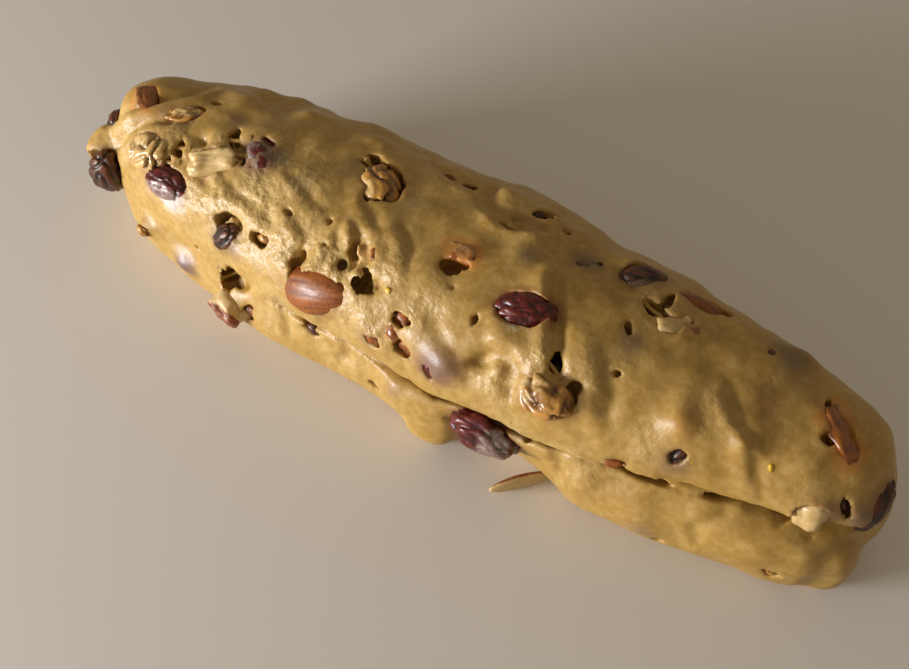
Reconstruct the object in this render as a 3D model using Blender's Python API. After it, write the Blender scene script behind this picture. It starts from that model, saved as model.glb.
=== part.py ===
"""A raw stollen: a folded roll of rich yeast dough with dried fruit and nuts set into its skin.

Frame: +X runs along the loaf, +Z is up, and -Y is the side where the upper fold ends above the lip.
The origin is the middle of the footprint, on the surface that the loaf lies on.
Sizes in the tables are in millimetres. A place on the skin is given by x and by its girth angle:
0 degrees faces -Y, 90 is straight up and 180 faces +Y, all seen from the loaf's core line.
"""

import math
from collections import namedtuple

import bmesh
import bpy
import numpy as np
from mathutils import Matrix, Vector
from mathutils.bvhtree import BVHTree

MM = 0.001

# Driving sizes of the loaf.
LENGTH = 265.0
LEFT = -LENGTH / 2
RIGHT = LENGTH / 2
FOLD_END_RADIUS = 16.0
LIP_INSET_LEFT = 9.0
LIP_INSET_RIGHT = 6.0
LIP_END_RADIUS = 9.0
LIP_INNER_EDGE = 8.0
CORE_HEIGHT = 24.0
UNDERSIDE_FLAT = 3.0
FOLD_SQUARENESS = 2.25
LIP_SQUARENESS = 2.6

# How finely the dough is modelled.
STATION_STEP = 9.0
GIRTH_POINTS = 24
END_GATHERING = 0.98
SMALLEST_END = 0.25

# The space between a fruit and the dough that holds it.
FIT_GAP = 0.3

# The fold's outline, station by station: x, near edge, far edge, top.
FOLD_STATIONS = (
    (-133, -3, 26, 42),
    (-112, -13, 31, 47),
    (-92, -19, 35, 50),
    (-65, -25, 38, 52),
    (-35, -29, 37, 54),
    (-5, -32, 36, 55),
    (25, -34, 34, 55),
    (50, -34, 30, 54),
    (75, -31, 25, 53),
    (100, -26, 20, 50),
    (118, -22, 16, 47),
    (133, -18, 11, 43),
)
# The lip below the fold: x, outer edge, height.
LIP_STATIONS = (
    (-122, -8, 22),
    (-105, -16, 25),
    (-80, -23, 26),
    (-50, -29, 26),
    (-15, -31, 26),
    (12, -34, 26),
    (21, -29, 22),
    (38, -26, 20),
    (47, -33, 26),
    (70, -35, 28),
    (95, -33, 29),
    (112, -30, 28),
    (129, -27, 26),
)
# The gap under the fold's edge: x, height of its middle, how far its mouth opens, depth into the loaf.
GAP_STATIONS = (
    (-70, 26, 0.8, 3),
    (-30, 25, 1.6, 5),
    (10, 25, 1.8, 6),
    (45, 26, 2.0, 7),
    (80, 29, 2.4, 9),
    (105, 29, 4.0, 14),
    (122, 28, 6.0, 18),
    (138, 27, 7.0, 18),
)
# The cutter leaves the loaf sloping down, and is a little wider outside than at the mouth.
GAP_OUTSIDE = 12.0
GAP_SLOPE = 4.0
GAP_FLARE = 1.0

# Swellings and hollows of the skin: x, girth angle, reach, height (below 0 is a hollow).
SWELLINGS = (
    (13, 22, 8, 3.0),
    (-32, 28, 12, 2.5),
    (-34, 42, 8, -1.5),
    (44, 32, 10, 2.0),
    (79, 46, 7, 2.2),
    (88, 60, 6, -1.6),
    (95, 50, 7, 1.6),
    (60, 48, 12, -1.4),
    (30, 62, 11, 1.2),
    (40, 92, 6, 1.4),
    (36, 66, 5, -1.8),
    (52, 70, 12, 1.2),
    (-67, 92, 9, 1.4),
    (-90, 50, 10, 1.4),
    (-100, 70, 8, 1.6),
    (-63, 26, 8, 1.6),
    (-50, 42, 9, -1.2),
    (-10, 60, 12, 1.2),
    (-20, 55, 6, 1.3),
    (8, 105, 14, 1.3),
    (13, 118, 8, 1.6),
    (26, 124, 8, 1.5),
    (50, 122, 9, 1.4),
    (68, 122, 9, 1.4),
    (95, 110, 9, 1.8),
    (116, 70, 12, 1.4),
    (114, 28, 8, 1.8),
    (126, 30, 7, 1.8),
    (-115, 110, 10, 1.8),
    (12, -12, 9, 2.4),
    (-1, -10, 7, 1.6),
    (-60, -20, 9, 2.2),
    (77, -18, 9, 1.8),
    (60, -8, 10, 1.4),
    (112, -14, 9, 1.5),
    (-102, -10, 7, 2.2),
    (-40, 150, 14, 2.0),
    (10, 155, 16, 2.2),
    (62, 150, 13, 1.8),
    (-85, 145, 13, 2.0),
    (100, 150, 11, 1.6),
)
UNEVENNESS = 0.7
UNEVEN_LENGTHS = (31.0, 19.0, 12.0)
# The skin stays as it is on the table, and moves fully from this height up.
FREE_HEIGHT = 8.0

# Torn hollows in the skin: x, girth angle, length, width, depth, heading.
POCKETS = (
    (-38, 41, 9, 5, 6, 60),
    (-21, 52, 9, 4, 5, 120),
    (-61, 0, 10, 7, 6, 20),
    (-63, 38, 7, 7, 6, 0),
    (-13, 45, 6, 6, 6, 0),
    (-74, 88, 9, 4, 5, 40),
    (-86, 84, 6, 5, 5, 0),
    (-29, 102, 14, 9, 5, 40),
    (4, 74, 7, 4, 5, 10),
    (42, 45, 8, 4, 6, 120),
    (61, 88, 8, 6, 5, 60),
    (12, 112, 9, 3, 4, 10),
    (68, 116, 15, 6, 4, 30),
)

Fruit = namedtuple("Fruit", "name kind x girth heading size sunk")

# Fruit and nuts in the skin. size is length, width and thickness; sunk is how deep the middle lies.
FRUIT = (
    Fruit("raisin_end_far", "raisin", -130, 128, 30, (10, 8, 7), 1.0),
    Fruit("raisin_end_near", "raisin", -121, 4, -60, (15, 11, 9), 1.0),
    Fruit("raisin_fold_left", "raisin", -66, 31, -40, (11, 9, 8), 2.6),
    Fruit("raisin_slit", "raisin", 12, 22, -22, (15, 11, 9), 3.4),
    Fruit("raisin_top_small", "raisin", 36, 105, 10, (9, 7, 6), 2.6),
    Fruit("raisin_top", "raisin", 51, 112, -32, (12, 9, 7), 2.2),
    Fruit("raisin_low", "raisin", 80, 28, -21, (10, 8, 7), 2.6),
    Fruit("raisin_far_edge", "raisin", 96, 112, -12, (13, 9, 8), 3.2),
    Fruit("raisin_end_right", "raisin", 129, 39, -75, (14, 9, 8), 1.8),
    Fruit("cranberry_left", "cranberry", -91, 47, 5, (15, 9, 8), 1.8),
    Fruit("cranberry_sunk", "cranberry", -67, 92, 50, (15, 10, 8), 2.8),
    Fruit("cranberry_top", "cranberry", 29, 64, 14, (15.5, 10, 8), 1.6),
    Fruit("cranberry_gap", "cranberry", 28, -8, 10, (16, 12, 10), 1.5),
    Fruit("almond_whole", "almond", -30, 29, 10, (22, 13, 8.5), 1.8),
    Fruit("almond_chunk", "chunk", -63, -22, 5, (10, 8, 7), 1.2),
    Fruit("almond_far", "almond", 69, 114, 35, (15, 7, 6), 3.0),
    Fruit("walnut_left", "walnut", -102, 64, 0, (13, 10, 8), 1.8),
    Fruit("walnut_skin_left", "walnut", -98, 98, -32, (11, 6, 6), 2.4),
    Fruit("walnut_top", "walnut", -29, 102, 45, (14, 10, 8), 3.4),
    Fruit("walnut_low", "walnut", 44, 33, 6, (14, 11, 9), 1.0),
    Fruit("nut_left", "chunk", -79, 74, -32, (13, 7, 6), 1.6),
    Fruit("nut_right", "chunk", 64, 90, -10, (8, 7, 6), 2.6),
    Fruit("nut_end", "chunk", 115, 23, -20, (9, 8, 7), 1.4),
    Fruit("peel_left", "peel", -115, 104, 40, (12, 6, 5), 1.6),
    Fruit("peel_mid", "peel", 5, 79, -10, (9, 6, 5), 1.8),
    Fruit("peel_right", "peel", 114, 77, -42, (14, 7, 5), 1.8),
)
# Small lobes of dough beside the fold: centre, half sizes.
LOBES = (
    ((-126, -5, 28), (7, 8, 9)),
)
# The cut almond that lies in the lip's notch: length, thickness and height, its middle, its turn.
SLIVER_SIZE = (18.0, 3.6, 5.5)
SLIVER_PLACE = (40.0, -33.5, 2.8)
SLIVER_TURN = 47.0

FRUIT_ROUND = 8
FRUIT_ALONG = 6
LOBE_ROUND = 12
LOBE_ALONG = 8
POCKET_ROUND = 7
POCKET_ALONG = 5
POCKET_SUNK = 0.3

# sRGB colours, roughness.
FINISHES = {
    "dough": ((0.89, 0.76, 0.52), 0.45),
    "raisin": ((0.16, 0.07, 0.05), 0.35),
    "cranberry": ((0.34, 0.05, 0.06), 0.3),
    "almond": ((0.55, 0.29, 0.13), 0.6),
    "walnut": ((0.72, 0.50, 0.25), 0.45),
    "nut_flesh": ((0.90, 0.78, 0.56), 0.55),
    "peel": ((0.80, 0.42, 0.12), 0.35),
}
# A chopped nut is named for its shape.
FINISH_OF_KIND = {"chunk": "nut_flesh"}


def smooth_through(stations, column, x):
    """The value of a column at x, on a smooth curve through the stations."""
    xs = [row[0] for row in stations]
    values = [row[column] for row in stations]
    i = int(np.clip(np.searchsorted(xs, x) - 1, 0, len(xs) - 2))
    slopes = np.gradient(values, xs)
    span = xs[i + 1] - xs[i]
    t = (np.clip(x, xs[0], xs[-1]) - xs[i]) / span
    start, end = values[i], values[i + 1]
    rise, fall = slopes[i] * span, slopes[i + 1] * span
    return (
        (2 * t**3 - 3 * t**2 + 1) * start
        + (t**3 - 2 * t**2 + t) * rise
        + (-2 * t**3 + 3 * t**2) * end
        + (t**3 - t**2) * fall
    )


def signed_power(value, power):
    return math.copysign(abs(value) ** power, value)


def oval(near, far, middle, top, bottom, squareness):
    """A closed section in Y and Z: a rounded outline, flat where it meets the table."""
    centre = (near + far) / 2
    half = (far - near) / 2
    points = []
    for i in range(GIRTH_POINTS):
        angle = 2 * math.pi * i / GIRTH_POINTS
        c, s = -math.cos(angle), math.sin(angle)
        y = centre + half * signed_power(c, 2 / squareness)
        z = middle + (top if s > 0 else bottom) * signed_power(s, 2 / squareness)
        points.append((y, max(z, 0.0)))
    return points


def fold_section(x):
    near, far, top = (smooth_through(FOLD_STATIONS, k, x) for k in (1, 2, 3))
    middle = 0.54 * top
    return oval(near, far, middle, top - middle, middle + UNDERSIDE_FLAT, FOLD_SQUARENESS)


def lip_section(x):
    near, height = (smooth_through(LIP_STATIONS, k, x) for k in (1, 2))
    middle = 0.52 * height
    return oval(near, LIP_INNER_EDGE, middle, height - middle, middle + UNDERSIDE_FLAT, LIP_SQUARENESS)


def end_scale(x, low, high, radius):
    """1 along the middle, falling as a quarter ellipse towards the two ends."""
    reach = max(low + radius - x, x - high + radius, 0.0)
    return math.sqrt(max(0.0, 1 - (reach / radius) ** 2))


def new_object(name, bm):
    bmesh.ops.recalc_face_normals(bm, faces=bm.faces)
    mesh = bpy.data.meshes.new(name)
    bm.to_mesh(mesh)
    bm.free()
    obj = bpy.data.objects.new(name, mesh)
    bpy.context.scene.collection.objects.link(obj)
    return obj


def bridged(name, rings):
    """A closed body through rings of points in millimetres, with flat ends."""
    bm = bmesh.new()
    loops = [[bm.verts.new(Vector(point) * MM) for point in ring] for ring in rings]
    sides = len(rings[0])
    for a, b in zip(loops, loops[1:]):
        for i in range(sides):
            j = (i + 1) % sides
            bm.faces.new((a[i], a[j], b[j], b[i]))
    bm.faces.new(loops[0])
    bm.faces.new(loops[-1])
    bmesh.ops.remove_doubles(bm, verts=bm.verts, dist=0.05 * MM)
    return new_object(name, bm)


def lofted(name, section, low, high, end_radius):
    """A closed body through the sections from low to high, its ends rounded off."""
    count = round((high - low) / STATION_STEP)
    widest = math.sin(math.pi / 2 * END_GATHERING)
    rings = []
    for i in range(count + 1):
        # Stations gather towards the ends, where the shape turns fastest.
        even = 2 * i / count - 1
        x = (low + high + (high - low) * math.sin(math.pi / 2 * END_GATHERING * even) / widest) / 2
        scale = max(end_scale(x, low, high, end_radius), SMALLEST_END)
        outline = section(x)
        centre_y = sum(y for y, _ in outline) / len(outline)
        centre_z = 0.45 * max(z for _, z in outline)
        # An end is rounder seen from above than from the side.
        scale_z = min(1.0, scale + 0.12)
        ring = []
        for y, z in outline:
            z = max(centre_z + (z - centre_z) * scale_z, 0.0)
            ring.append((x, centre_y + (y - centre_y) * scale, z))
        rings.append(ring)
    return bridged(name, rings)


def boolean(obj, others, operation):
    """One Boolean with all the others at once, kept as obj's own mesh. The others are removed."""
    group = bpy.data.collections.new(operation)
    bpy.context.scene.collection.children.link(group)
    for other in others:
        group.objects.link(other)
    modifier = obj.modifiers.new(operation, "BOOLEAN")
    modifier.operation = operation
    modifier.operand_type = "COLLECTION"
    modifier.collection = group
    evaluated = obj.evaluated_get(bpy.context.evaluated_depsgraph_get())
    bm = bmesh.new()
    bm.from_mesh(evaluated.to_mesh())
    bmesh.ops.triangulate(bm, faces=bm.faces)
    obj.modifiers.clear()
    bm.to_mesh(obj.data)
    bm.free()
    for other in others:
        bpy.data.objects.remove(other)
    bpy.data.collections.remove(group)


def skin_tree(*objects):
    """A search tree over the faces of the objects together."""
    vertices = []
    faces = []
    for obj in objects:
        start = len(vertices)
        vertices += [v.co for v in obj.data.vertices]
        faces += [[start + i for i in face.vertices] for face in obj.data.polygons]
    return BVHTree.FromPolygons(vertices, faces)


def core_point(x):
    return Vector((x, 0.0, CORE_HEIGHT)) * MM


def outward(girth):
    angle = math.radians(girth)
    return Vector((0.0, -math.cos(angle), math.sin(angle)))


def skin_place(tree, x, girth):
    """The point of the skin at x and girth angle, and the outward direction there."""
    reach = 100 * MM
    point, normal, _, _ = tree.ray_cast(core_point(x) + outward(girth) * reach, -outward(girth))
    if point is None:
        raise ValueError(f"no skin at x {x}, girth {girth}")
    return point, normal


def skin_frame(tree, x, girth, heading):
    """Axes on the skin: X along the heading, Z outward."""
    point, normal = skin_place(tree, x, girth)
    along = Vector((1, 0, 0))
    along = (along - normal * along.dot(normal)).normalized()
    turned = Matrix.Rotation(math.radians(-heading), 3, normal) @ along
    side = normal.cross(turned)
    rotation = Matrix((turned, side, normal)).transposed()
    return Matrix.Translation(point) @ rotation.to_4x4()


def swell(obj, places):
    """Raises and sinks the skin around the places, with a soft unevenness all over."""
    for vertex in obj.data.vertices:
        x, y, z = vertex.co / MM
        rise = 0.0
        for place, reach, height in places:
            distance = (Vector((x, y, z)) - place).length
            rise += height * math.exp(-((distance / reach) ** 2))
        for n, length in enumerate(UNEVEN_LENGTHS):
            k = 2 * math.pi / length
            wave = math.sin(k * x + 1.3 * n) * math.sin(k * y * 1.1 + 2.1 * n) * math.cos(k * z * 0.9 + n)
            rise += UNEVENNESS * wave
        fade = min(1.0, z / FREE_HEIGHT)
        vertex.co += vertex.normal * rise * fade * MM
        vertex.co.z = max(vertex.co.z, 0.0)


def fold_gap():
    """A wedge along the fold's lower edge that keeps it off the lip, wider towards the right end."""
    low, high = GAP_STATIONS[0][0], GAP_STATIONS[-1][0]
    count = round((high - low) / (2 * STATION_STEP))
    rings = []
    for i in range(count + 1):
        x = low + (high - low) * i / count
        height, mouth, depth = (smooth_through(GAP_STATIONS, k, x) for k in (1, 2, 3))
        edge = smooth_through(FOLD_STATIONS, 1, x)
        outside = height - GAP_SLOPE
        corners = (
            (edge - GAP_OUTSIDE, outside - mouth / 2 - GAP_FLARE),
            (edge - GAP_OUTSIDE, outside + mouth / 2),
            (edge + 1, height + mouth / 2),
            (edge + depth, height + 1),
            (edge + 1, height - mouth / 2),
        )
        rings.append([(x, y, z) for y, z in corners])
    return bridged("gap_cutter", rings)


def ball(name, round_points, along_points, shape):
    """A closed body from a sphere whose poles lie on X; shape moves each unit point."""
    bm = bmesh.new()
    poles_on_x = Matrix.Rotation(math.pi / 2, 3, "Y")
    bmesh.ops.create_uvsphere(bm, u_segments=round_points, v_segments=along_points, radius=1.0)
    for vertex in bm.verts:
        vertex.co = shape(poles_on_x @ vertex.co)
    bmesh.ops.triangulate(bm, faces=bm.faces)
    return new_object(name, bm)


def wrinkled(ridges, depth, bend):
    """A dried berry: ridges run from end to end, and the whole is slightly bent."""

    def shape(p):
        angle = math.atan2(p.z, p.y)
        fold = 1 - depth * (1 - abs(p.x)) * (0.5 + 0.5 * math.cos(ridges * angle + 2.0 * p.x))
        return Vector((p.x, p.y * fold + bend * (p.x**2 - 0.4), p.z * fold))

    return shape


def almond_shape(p):
    """Blunt at one end, pointed at the other."""
    taper = 1 - 0.28 * p.x - 0.12 * max(p.x, 0) ** 3
    return Vector((p.x, p.y * taper, p.z * (0.5 * taper + 0.5)))


def lobed(p):
    """A walnut half's folds: deep grooves across and a waist along the middle."""
    angle = math.atan2(p.z, p.y)
    folds = 1 - 0.16 * (0.5 + 0.5 * math.cos(5.0 * p.x * 2.2 + 2 * math.sin(angle)))
    waist = 1 - 0.14 * math.exp(-((math.cos(angle) / 0.35) ** 2))
    return p * folds * waist


def blocky(power):
    """A chopped piece: a rounded box, narrower at one end."""

    def shape(p):
        q = Vector([signed_power(v, power) for v in p])
        return Vector((q.x, q.y * (1 - 0.18 * q.x), q.z * (1 + 0.1 * q.x)))

    return shape


SHAPES = {
    "raisin": wrinkled(4, 0.2, 0.08),
    "cranberry": wrinkled(3, 0.14, -0.06),
    "almond": almond_shape,
    "walnut": lobed,
    "chunk": blocky(0.72),
    "peel": blocky(0.6),
}


def placed(obj, matrix, size, sunk):
    """Gives a unit body its size and its place, with the middle below the skin by sunk."""
    half = Matrix.Diagonal(Vector(size) / 2 * MM).to_4x4()
    obj.data.transform(matrix @ Matrix.Translation((0, 0, -sunk * MM)) @ half)
    obj.data.update()


def grown(obj, gap):
    """A copy of a body, larger by the gap all round, to cut its socket."""
    bm = bmesh.new()
    bm.from_mesh(obj.data)
    bmesh.ops.recalc_face_normals(bm, faces=bm.faces)
    bm.normal_update()
    moves = [(v, v.normal * gap * MM) for v in bm.verts]
    for vertex, move in moves:
        vertex.co += move
    return new_object(obj.name + "_socket", bm)


def lobe(place, half):
    """A rounded lump of dough."""
    obj = ball("lobe", LOBE_ROUND, LOBE_ALONG, wrinkled(3, 0.1, 0.1))
    obj.data.transform(Matrix.Translation(Vector(place) * MM) @ Matrix.Diagonal(Vector(half) * MM).to_4x4())
    return obj


def sliver(finish):
    """A cut sliver of almond: it stands on its edge on the table and runs in under the lip."""

    obj = ball("almond_sliver", FRUIT_ROUND, FRUIT_ALONG, almond_shape)
    turn = Matrix.Rotation(math.radians(SLIVER_TURN), 4, "Z")
    placed(obj, Matrix.Translation(Vector(SLIVER_PLACE) * MM) @ turn, SLIVER_SIZE, 0.0)
    obj.data.materials.append(finish)
    return obj


def make_finish(name):
    colour, roughness = FINISHES[name]
    material = bpy.data.materials.new(name)
    material.use_nodes = True
    shader = material.node_tree.nodes["Principled BSDF"]
    linear = [((c + 0.055) / 1.055) ** 2.4 if c > 0.04045 else c / 12.92 for c in colour]
    shader.inputs["Base Color"].default_value = (*linear, 1.0)
    shader.inputs["Roughness"].default_value = roughness
    return material


def clear_scene():
    for obj in list(bpy.data.objects):
        bpy.data.objects.remove(obj)


def main():
    clear_scene()
    finishes = {name: make_finish(name) for name in FINISHES}

    dough = lofted("dough", fold_section, LEFT, RIGHT, FOLD_END_RADIUS)
    lip = lofted("lip", lip_section, LEFT + LIP_INSET_LEFT, RIGHT - LIP_INSET_RIGHT, LIP_END_RADIUS)
    tree = skin_tree(dough, lip)
    places = [(skin_place(tree, x, girth)[0] / MM, reach, height) for x, girth, reach, height in SWELLINGS]
    swell(dough, places)
    swell(lip, places)
    boolean(dough, [lip] + [lobe(place, half) for place, half in LOBES], "UNION")

    tree = skin_tree(dough)
    pieces = [sliver(finishes["nut_flesh"])]
    for fruit in FRUIT:
        piece = ball(fruit.name, FRUIT_ROUND, FRUIT_ALONG, SHAPES[fruit.kind])
        placed(piece, skin_frame(tree, fruit.x, fruit.girth, fruit.heading), fruit.size, fruit.sunk)
        piece.data.materials.append(finishes[FINISH_OF_KIND.get(fruit.kind, fruit.kind)])
        pieces.append(piece)

    cutters = [fold_gap()]
    for x, girth, length, width, depth, heading in POCKETS:
        pocket = ball("pocket", POCKET_ROUND, POCKET_ALONG, wrinkled(3, 0.2, 0.1))
        placed(pocket, skin_frame(tree, x, girth, heading), (length, width, 2 * depth), POCKET_SUNK * depth)
        cutters.append(pocket)
    cutters += [grown(piece, FIT_GAP) for piece in pieces]
    boolean(dough, cutters, "DIFFERENCE")

    dough.data.materials.clear()
    dough.data.materials.append(finishes["dough"])
    for obj in (dough, *pieces):
        obj.data.shade_smooth()


main()
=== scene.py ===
"""Looks of the raw stollen: its moist skin, and the fruit, nuts and peel in it.

Sizes are in millimetres where a name doesn't say otherwise. A place on the skin is given by x and by its
girth angle, seen from the loaf's core line: 0 degrees faces -Y, 90 is straight up and 180 faces +Y.
A heading is the turn on the skin from +X towards the top.
"""

import math
from collections import namedtuple

import bmesh
import bpy
import numpy as np
from mathutils import Matrix, Vector, noise
from mathutils.bvhtree import BVHTree


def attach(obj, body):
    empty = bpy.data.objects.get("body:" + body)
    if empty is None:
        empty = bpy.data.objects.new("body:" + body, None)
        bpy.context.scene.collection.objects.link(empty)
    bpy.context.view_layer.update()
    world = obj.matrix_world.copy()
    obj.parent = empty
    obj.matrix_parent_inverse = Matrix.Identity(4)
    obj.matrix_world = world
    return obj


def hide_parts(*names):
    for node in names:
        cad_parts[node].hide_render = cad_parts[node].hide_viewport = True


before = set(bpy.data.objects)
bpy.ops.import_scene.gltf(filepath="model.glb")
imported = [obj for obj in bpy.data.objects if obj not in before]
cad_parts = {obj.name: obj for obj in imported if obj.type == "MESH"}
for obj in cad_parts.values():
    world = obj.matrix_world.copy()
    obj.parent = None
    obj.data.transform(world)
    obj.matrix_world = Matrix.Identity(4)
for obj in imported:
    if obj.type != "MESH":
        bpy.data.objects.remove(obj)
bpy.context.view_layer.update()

MM = 0.001
BODY = "root"
CORE_HEIGHT = 24.0

# The view of the loaf: it is seen from its near side, half from above.
VIEW_AZIMUTH = 30.0
VIEW_ELEVATION = 52.0
VIEW_DISTANCE = 0.3557
VIEW_AIM = (0.0079, -0.0152, 0.030)
LENS_MM = 50.0
SENSOR_MM = 36.0

# How finely the skin is modelled, and how far its facets are smoothed away.
SKIN_VOXEL = 0.8
SKIN_ROUNDS = 40
CREASE_ROUNDS = 2
OPEN_VOXEL = 0.6
RIM_ROUNDS = 2
# The narrowest that a torn hole is cut, because the second remesh closes narrower ones and a few of this
# width too, and how far a cutter may be dented.
NARROWEST_TEAR = 2.3
DEEPEST_DENT = 0.7
SKIN_TRIANGLES = 188000
FILM_THICKNESS = 0.6
LOWEST_RELIEF = 6.0

# Where the outline turns sharply and is smoothed less: x, y, z, reach.
KEPT_CRISP = (
    (18, -32, 20, 9),
    (30, -32, 20, 10),
    (42, -32, 20, 9),
    (112, -26, 28, 10),
    (124, -24, 27, 12),
    (132, -20, 27, 10),
    (-124, 0, 30, 9),
)
# Dough added at the lip's square end, and dough taken away: a notch in the lip and the hollow under the
# fold's far end. Middle, then half sizes.
ADDED_DOUGH = ((120, -16, 11, 10.5, 9, 11.5), (9, -30, 12, 9, 6.5, 12))
TAKEN_DOUGH = ((31, -40, 13, 13, 9.5, 14), (139, -8, 3, 10, 22, 17))
# Fruit that stands free of the dough's film.
FREE_FRUIT = ("almond_sliver", "cranberry_gap", "raisin_end_near", "raisin_end_far")
# How much fuller a fruit is than its plain form, how far it is turned on the skin, and how far it is raised.
FRUIT_FULLNESS = 1.1
POSES = {
    "almond_whole": (0.95, 26, -0.5),
    "almond_far": (1.0, 35, 0.0),
    "walnut_left": (1.25, 0, 0.8),
    "walnut_skin_left": (1.25, 0, 0.2),
    "raisin_end_near": (1.1, 0, 1.0),
    "cranberry_gap": (1.14, 0, 1.4),
    "cranberry_top": (0.98, 28, 0.0),
    "cranberry_left": (1.0, 6, 0.2),
    "raisin_top": (1.05, 0, 0.2),
    "walnut_low": (1.08, 0, 0.4),
    "walnut_top": (1.25, 0, 0.2),
    "raisin_fold_left": (0.9, 0, 0.2),
    "raisin_slit": (0.95, 0, -1.4),
    "raisin_low": (0.9, 30, -0.9),
    "nut_end": (1.0, 0, -0.4),
    "nut_left": (1.15, 0, 0.2),
    "almond_chunk": (1.2, 0, 1.3),
    "peel_left": (1.0, 0, -0.8),
    "peel_mid": (1.0, 0, -0.6),
    "peel_right": (1.05, -80, -0.7),
}

Fruit = namedtuple("Fruit", "kind detail film_side film")
Opening = namedtuple("Opening", "along across shift_along shift_across")
Tear = namedtuple("Tear", "x girth heading length width depth")
Crease = namedtuple("Crease", "places width depth ridge")
Swelling = namedtuple("Swelling", "x girth heading length width height")
Stain = namedtuple("Stain", "x girth reach colour strength")
Bit = namedtuple("Bit", "kind x girth length width thickness sunk heading")

# Every fruit: its kind, how finely it is made, and from which side the dough's film covers it, and how far.
FRUIT = {
    "raisin_end_far": Fruit("raisin", 4, (0, 0, -1), 0.0),
    "raisin_end_near": Fruit("raisin", 5, (0.6, 0, -1), 0.0),
    "raisin_fold_left": Fruit("raisin", 5, (0.3, -1, -1), 0.15),
    "raisin_slit": Fruit("cranberry", 4, (0, 0, 1), 0.0),
    "raisin_top_small": Fruit("raisin", 4, (0, 0, 1), 0.3),
    "raisin_top": Fruit("raisin", 5, (0, -1, 0), 0.15),
    "raisin_low": Fruit("raisin", 5, (-0.6, -1, 0), 0.3),
    "raisin_far_edge": Fruit("raisin", 4, (0, 0, 1), 0.4),
    "raisin_end_right": Fruit("raisin", 4, (0, -1, 0), 0.3),
    "cranberry_left": Fruit("cranberry", 5, (0, -1, 0), 0.35),
    "cranberry_sunk": Fruit("cranberry", 4, (0, -1, 0), 0.3),
    "cranberry_top": Fruit("cranberry", 5, (0.2, -1, -0.4), 0.15),
    "cranberry_gap": Fruit("cranberry", 5, (1, 0.1, 0.8), 0.17),
    "almond_whole": Fruit("almond", 5, (0.3, -0.5, -1), 0.3),
    "almond_far": Fruit("almond", 4, (0, -1, 0), 0.1),
    "almond_chunk": Fruit("almond_chunk", 5, (0, -1, 0), 0.0),
    "almond_sliver": Fruit("almond_sliver", 4, (0, 0, -1), 0.0),
    "walnut_left": Fruit("walnut", 5, (0.4, -0.6, 0.4), 0.75),
    "walnut_skin_left": Fruit("walnut", 4, (0, 0, 1), 0.1),
    "walnut_top": Fruit("walnut", 5, (0, -1, 0), 0.2),
    "walnut_low": Fruit("walnut", 5, (-1, 0.6, 0), 0.25),
    "nut_left": Fruit("nut", 5, (0, -1, 0), 0.2),
    "nut_right": Fruit("nut", 4, (0, 0, 1), 0.1),
    "nut_end": Fruit("nut", 4, (0, 1, 0), 0.3),
    "peel_left": Fruit("peel", 4, (0, -1, 0), 0.1),
    "peel_mid": Fruit("peel", 4, (0, 1, 0.3), 0.5),
    "peel_right": Fruit("peel", 4, (0, 1, 0), 0.3),
}

# Where the skin is open over a fruit, as shares of the fruit's own half sizes.
OPENINGS = {
    "raisin_end_far": Opening(1.1, 1.1, 0, 0),
    "raisin_end_near": Opening(1.1, 1.1, 0, 0),
    "raisin_top": Opening(0.95, 0.85, 0, 0),
    "raisin_low": Opening(0.55, 0.6, 0.15, 0.1),
    "raisin_end_right": Opening(0.75, 0.4, 0.1, -0.3),
    "cranberry_left": Opening(0.98, 0.85, 0, 0.15),
    "cranberry_top": Opening(1.0, 0.98, 0, 0.1),
    "cranberry_gap": Opening(1.15, 1.2, 0, -0.2),
    "almond_whole": Opening(0.8, 0.64, -0.04, 0.26),
    "almond_far": Opening(0.9, 0.9, 0, 0.1),
    "almond_chunk": Opening(1.0, 1.0, 0, 0),
    "walnut_left": Opening(0.9, 0.85, 0, 0),
    "walnut_skin_left": Opening(0.95, 0.9, 0, 0),
    "walnut_top": Opening(1.0, 1.0, 0.1, 0.1),
    "walnut_low": Opening(0.98, 0.98, 0.05, 0.05),
    "nut_left": Opening(1.0, 1.05, 0, 0),
    "nut_right": Opening(0.7, 0.7, 0, 0),
    "nut_end": Opening(1.0, 1.0, 0, -0.2),
    "peel_left": Opening(0.9, 0.9, 0, 0),
    "peel_right": Opening(0.86, 0.8, 0, 0),
}

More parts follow.
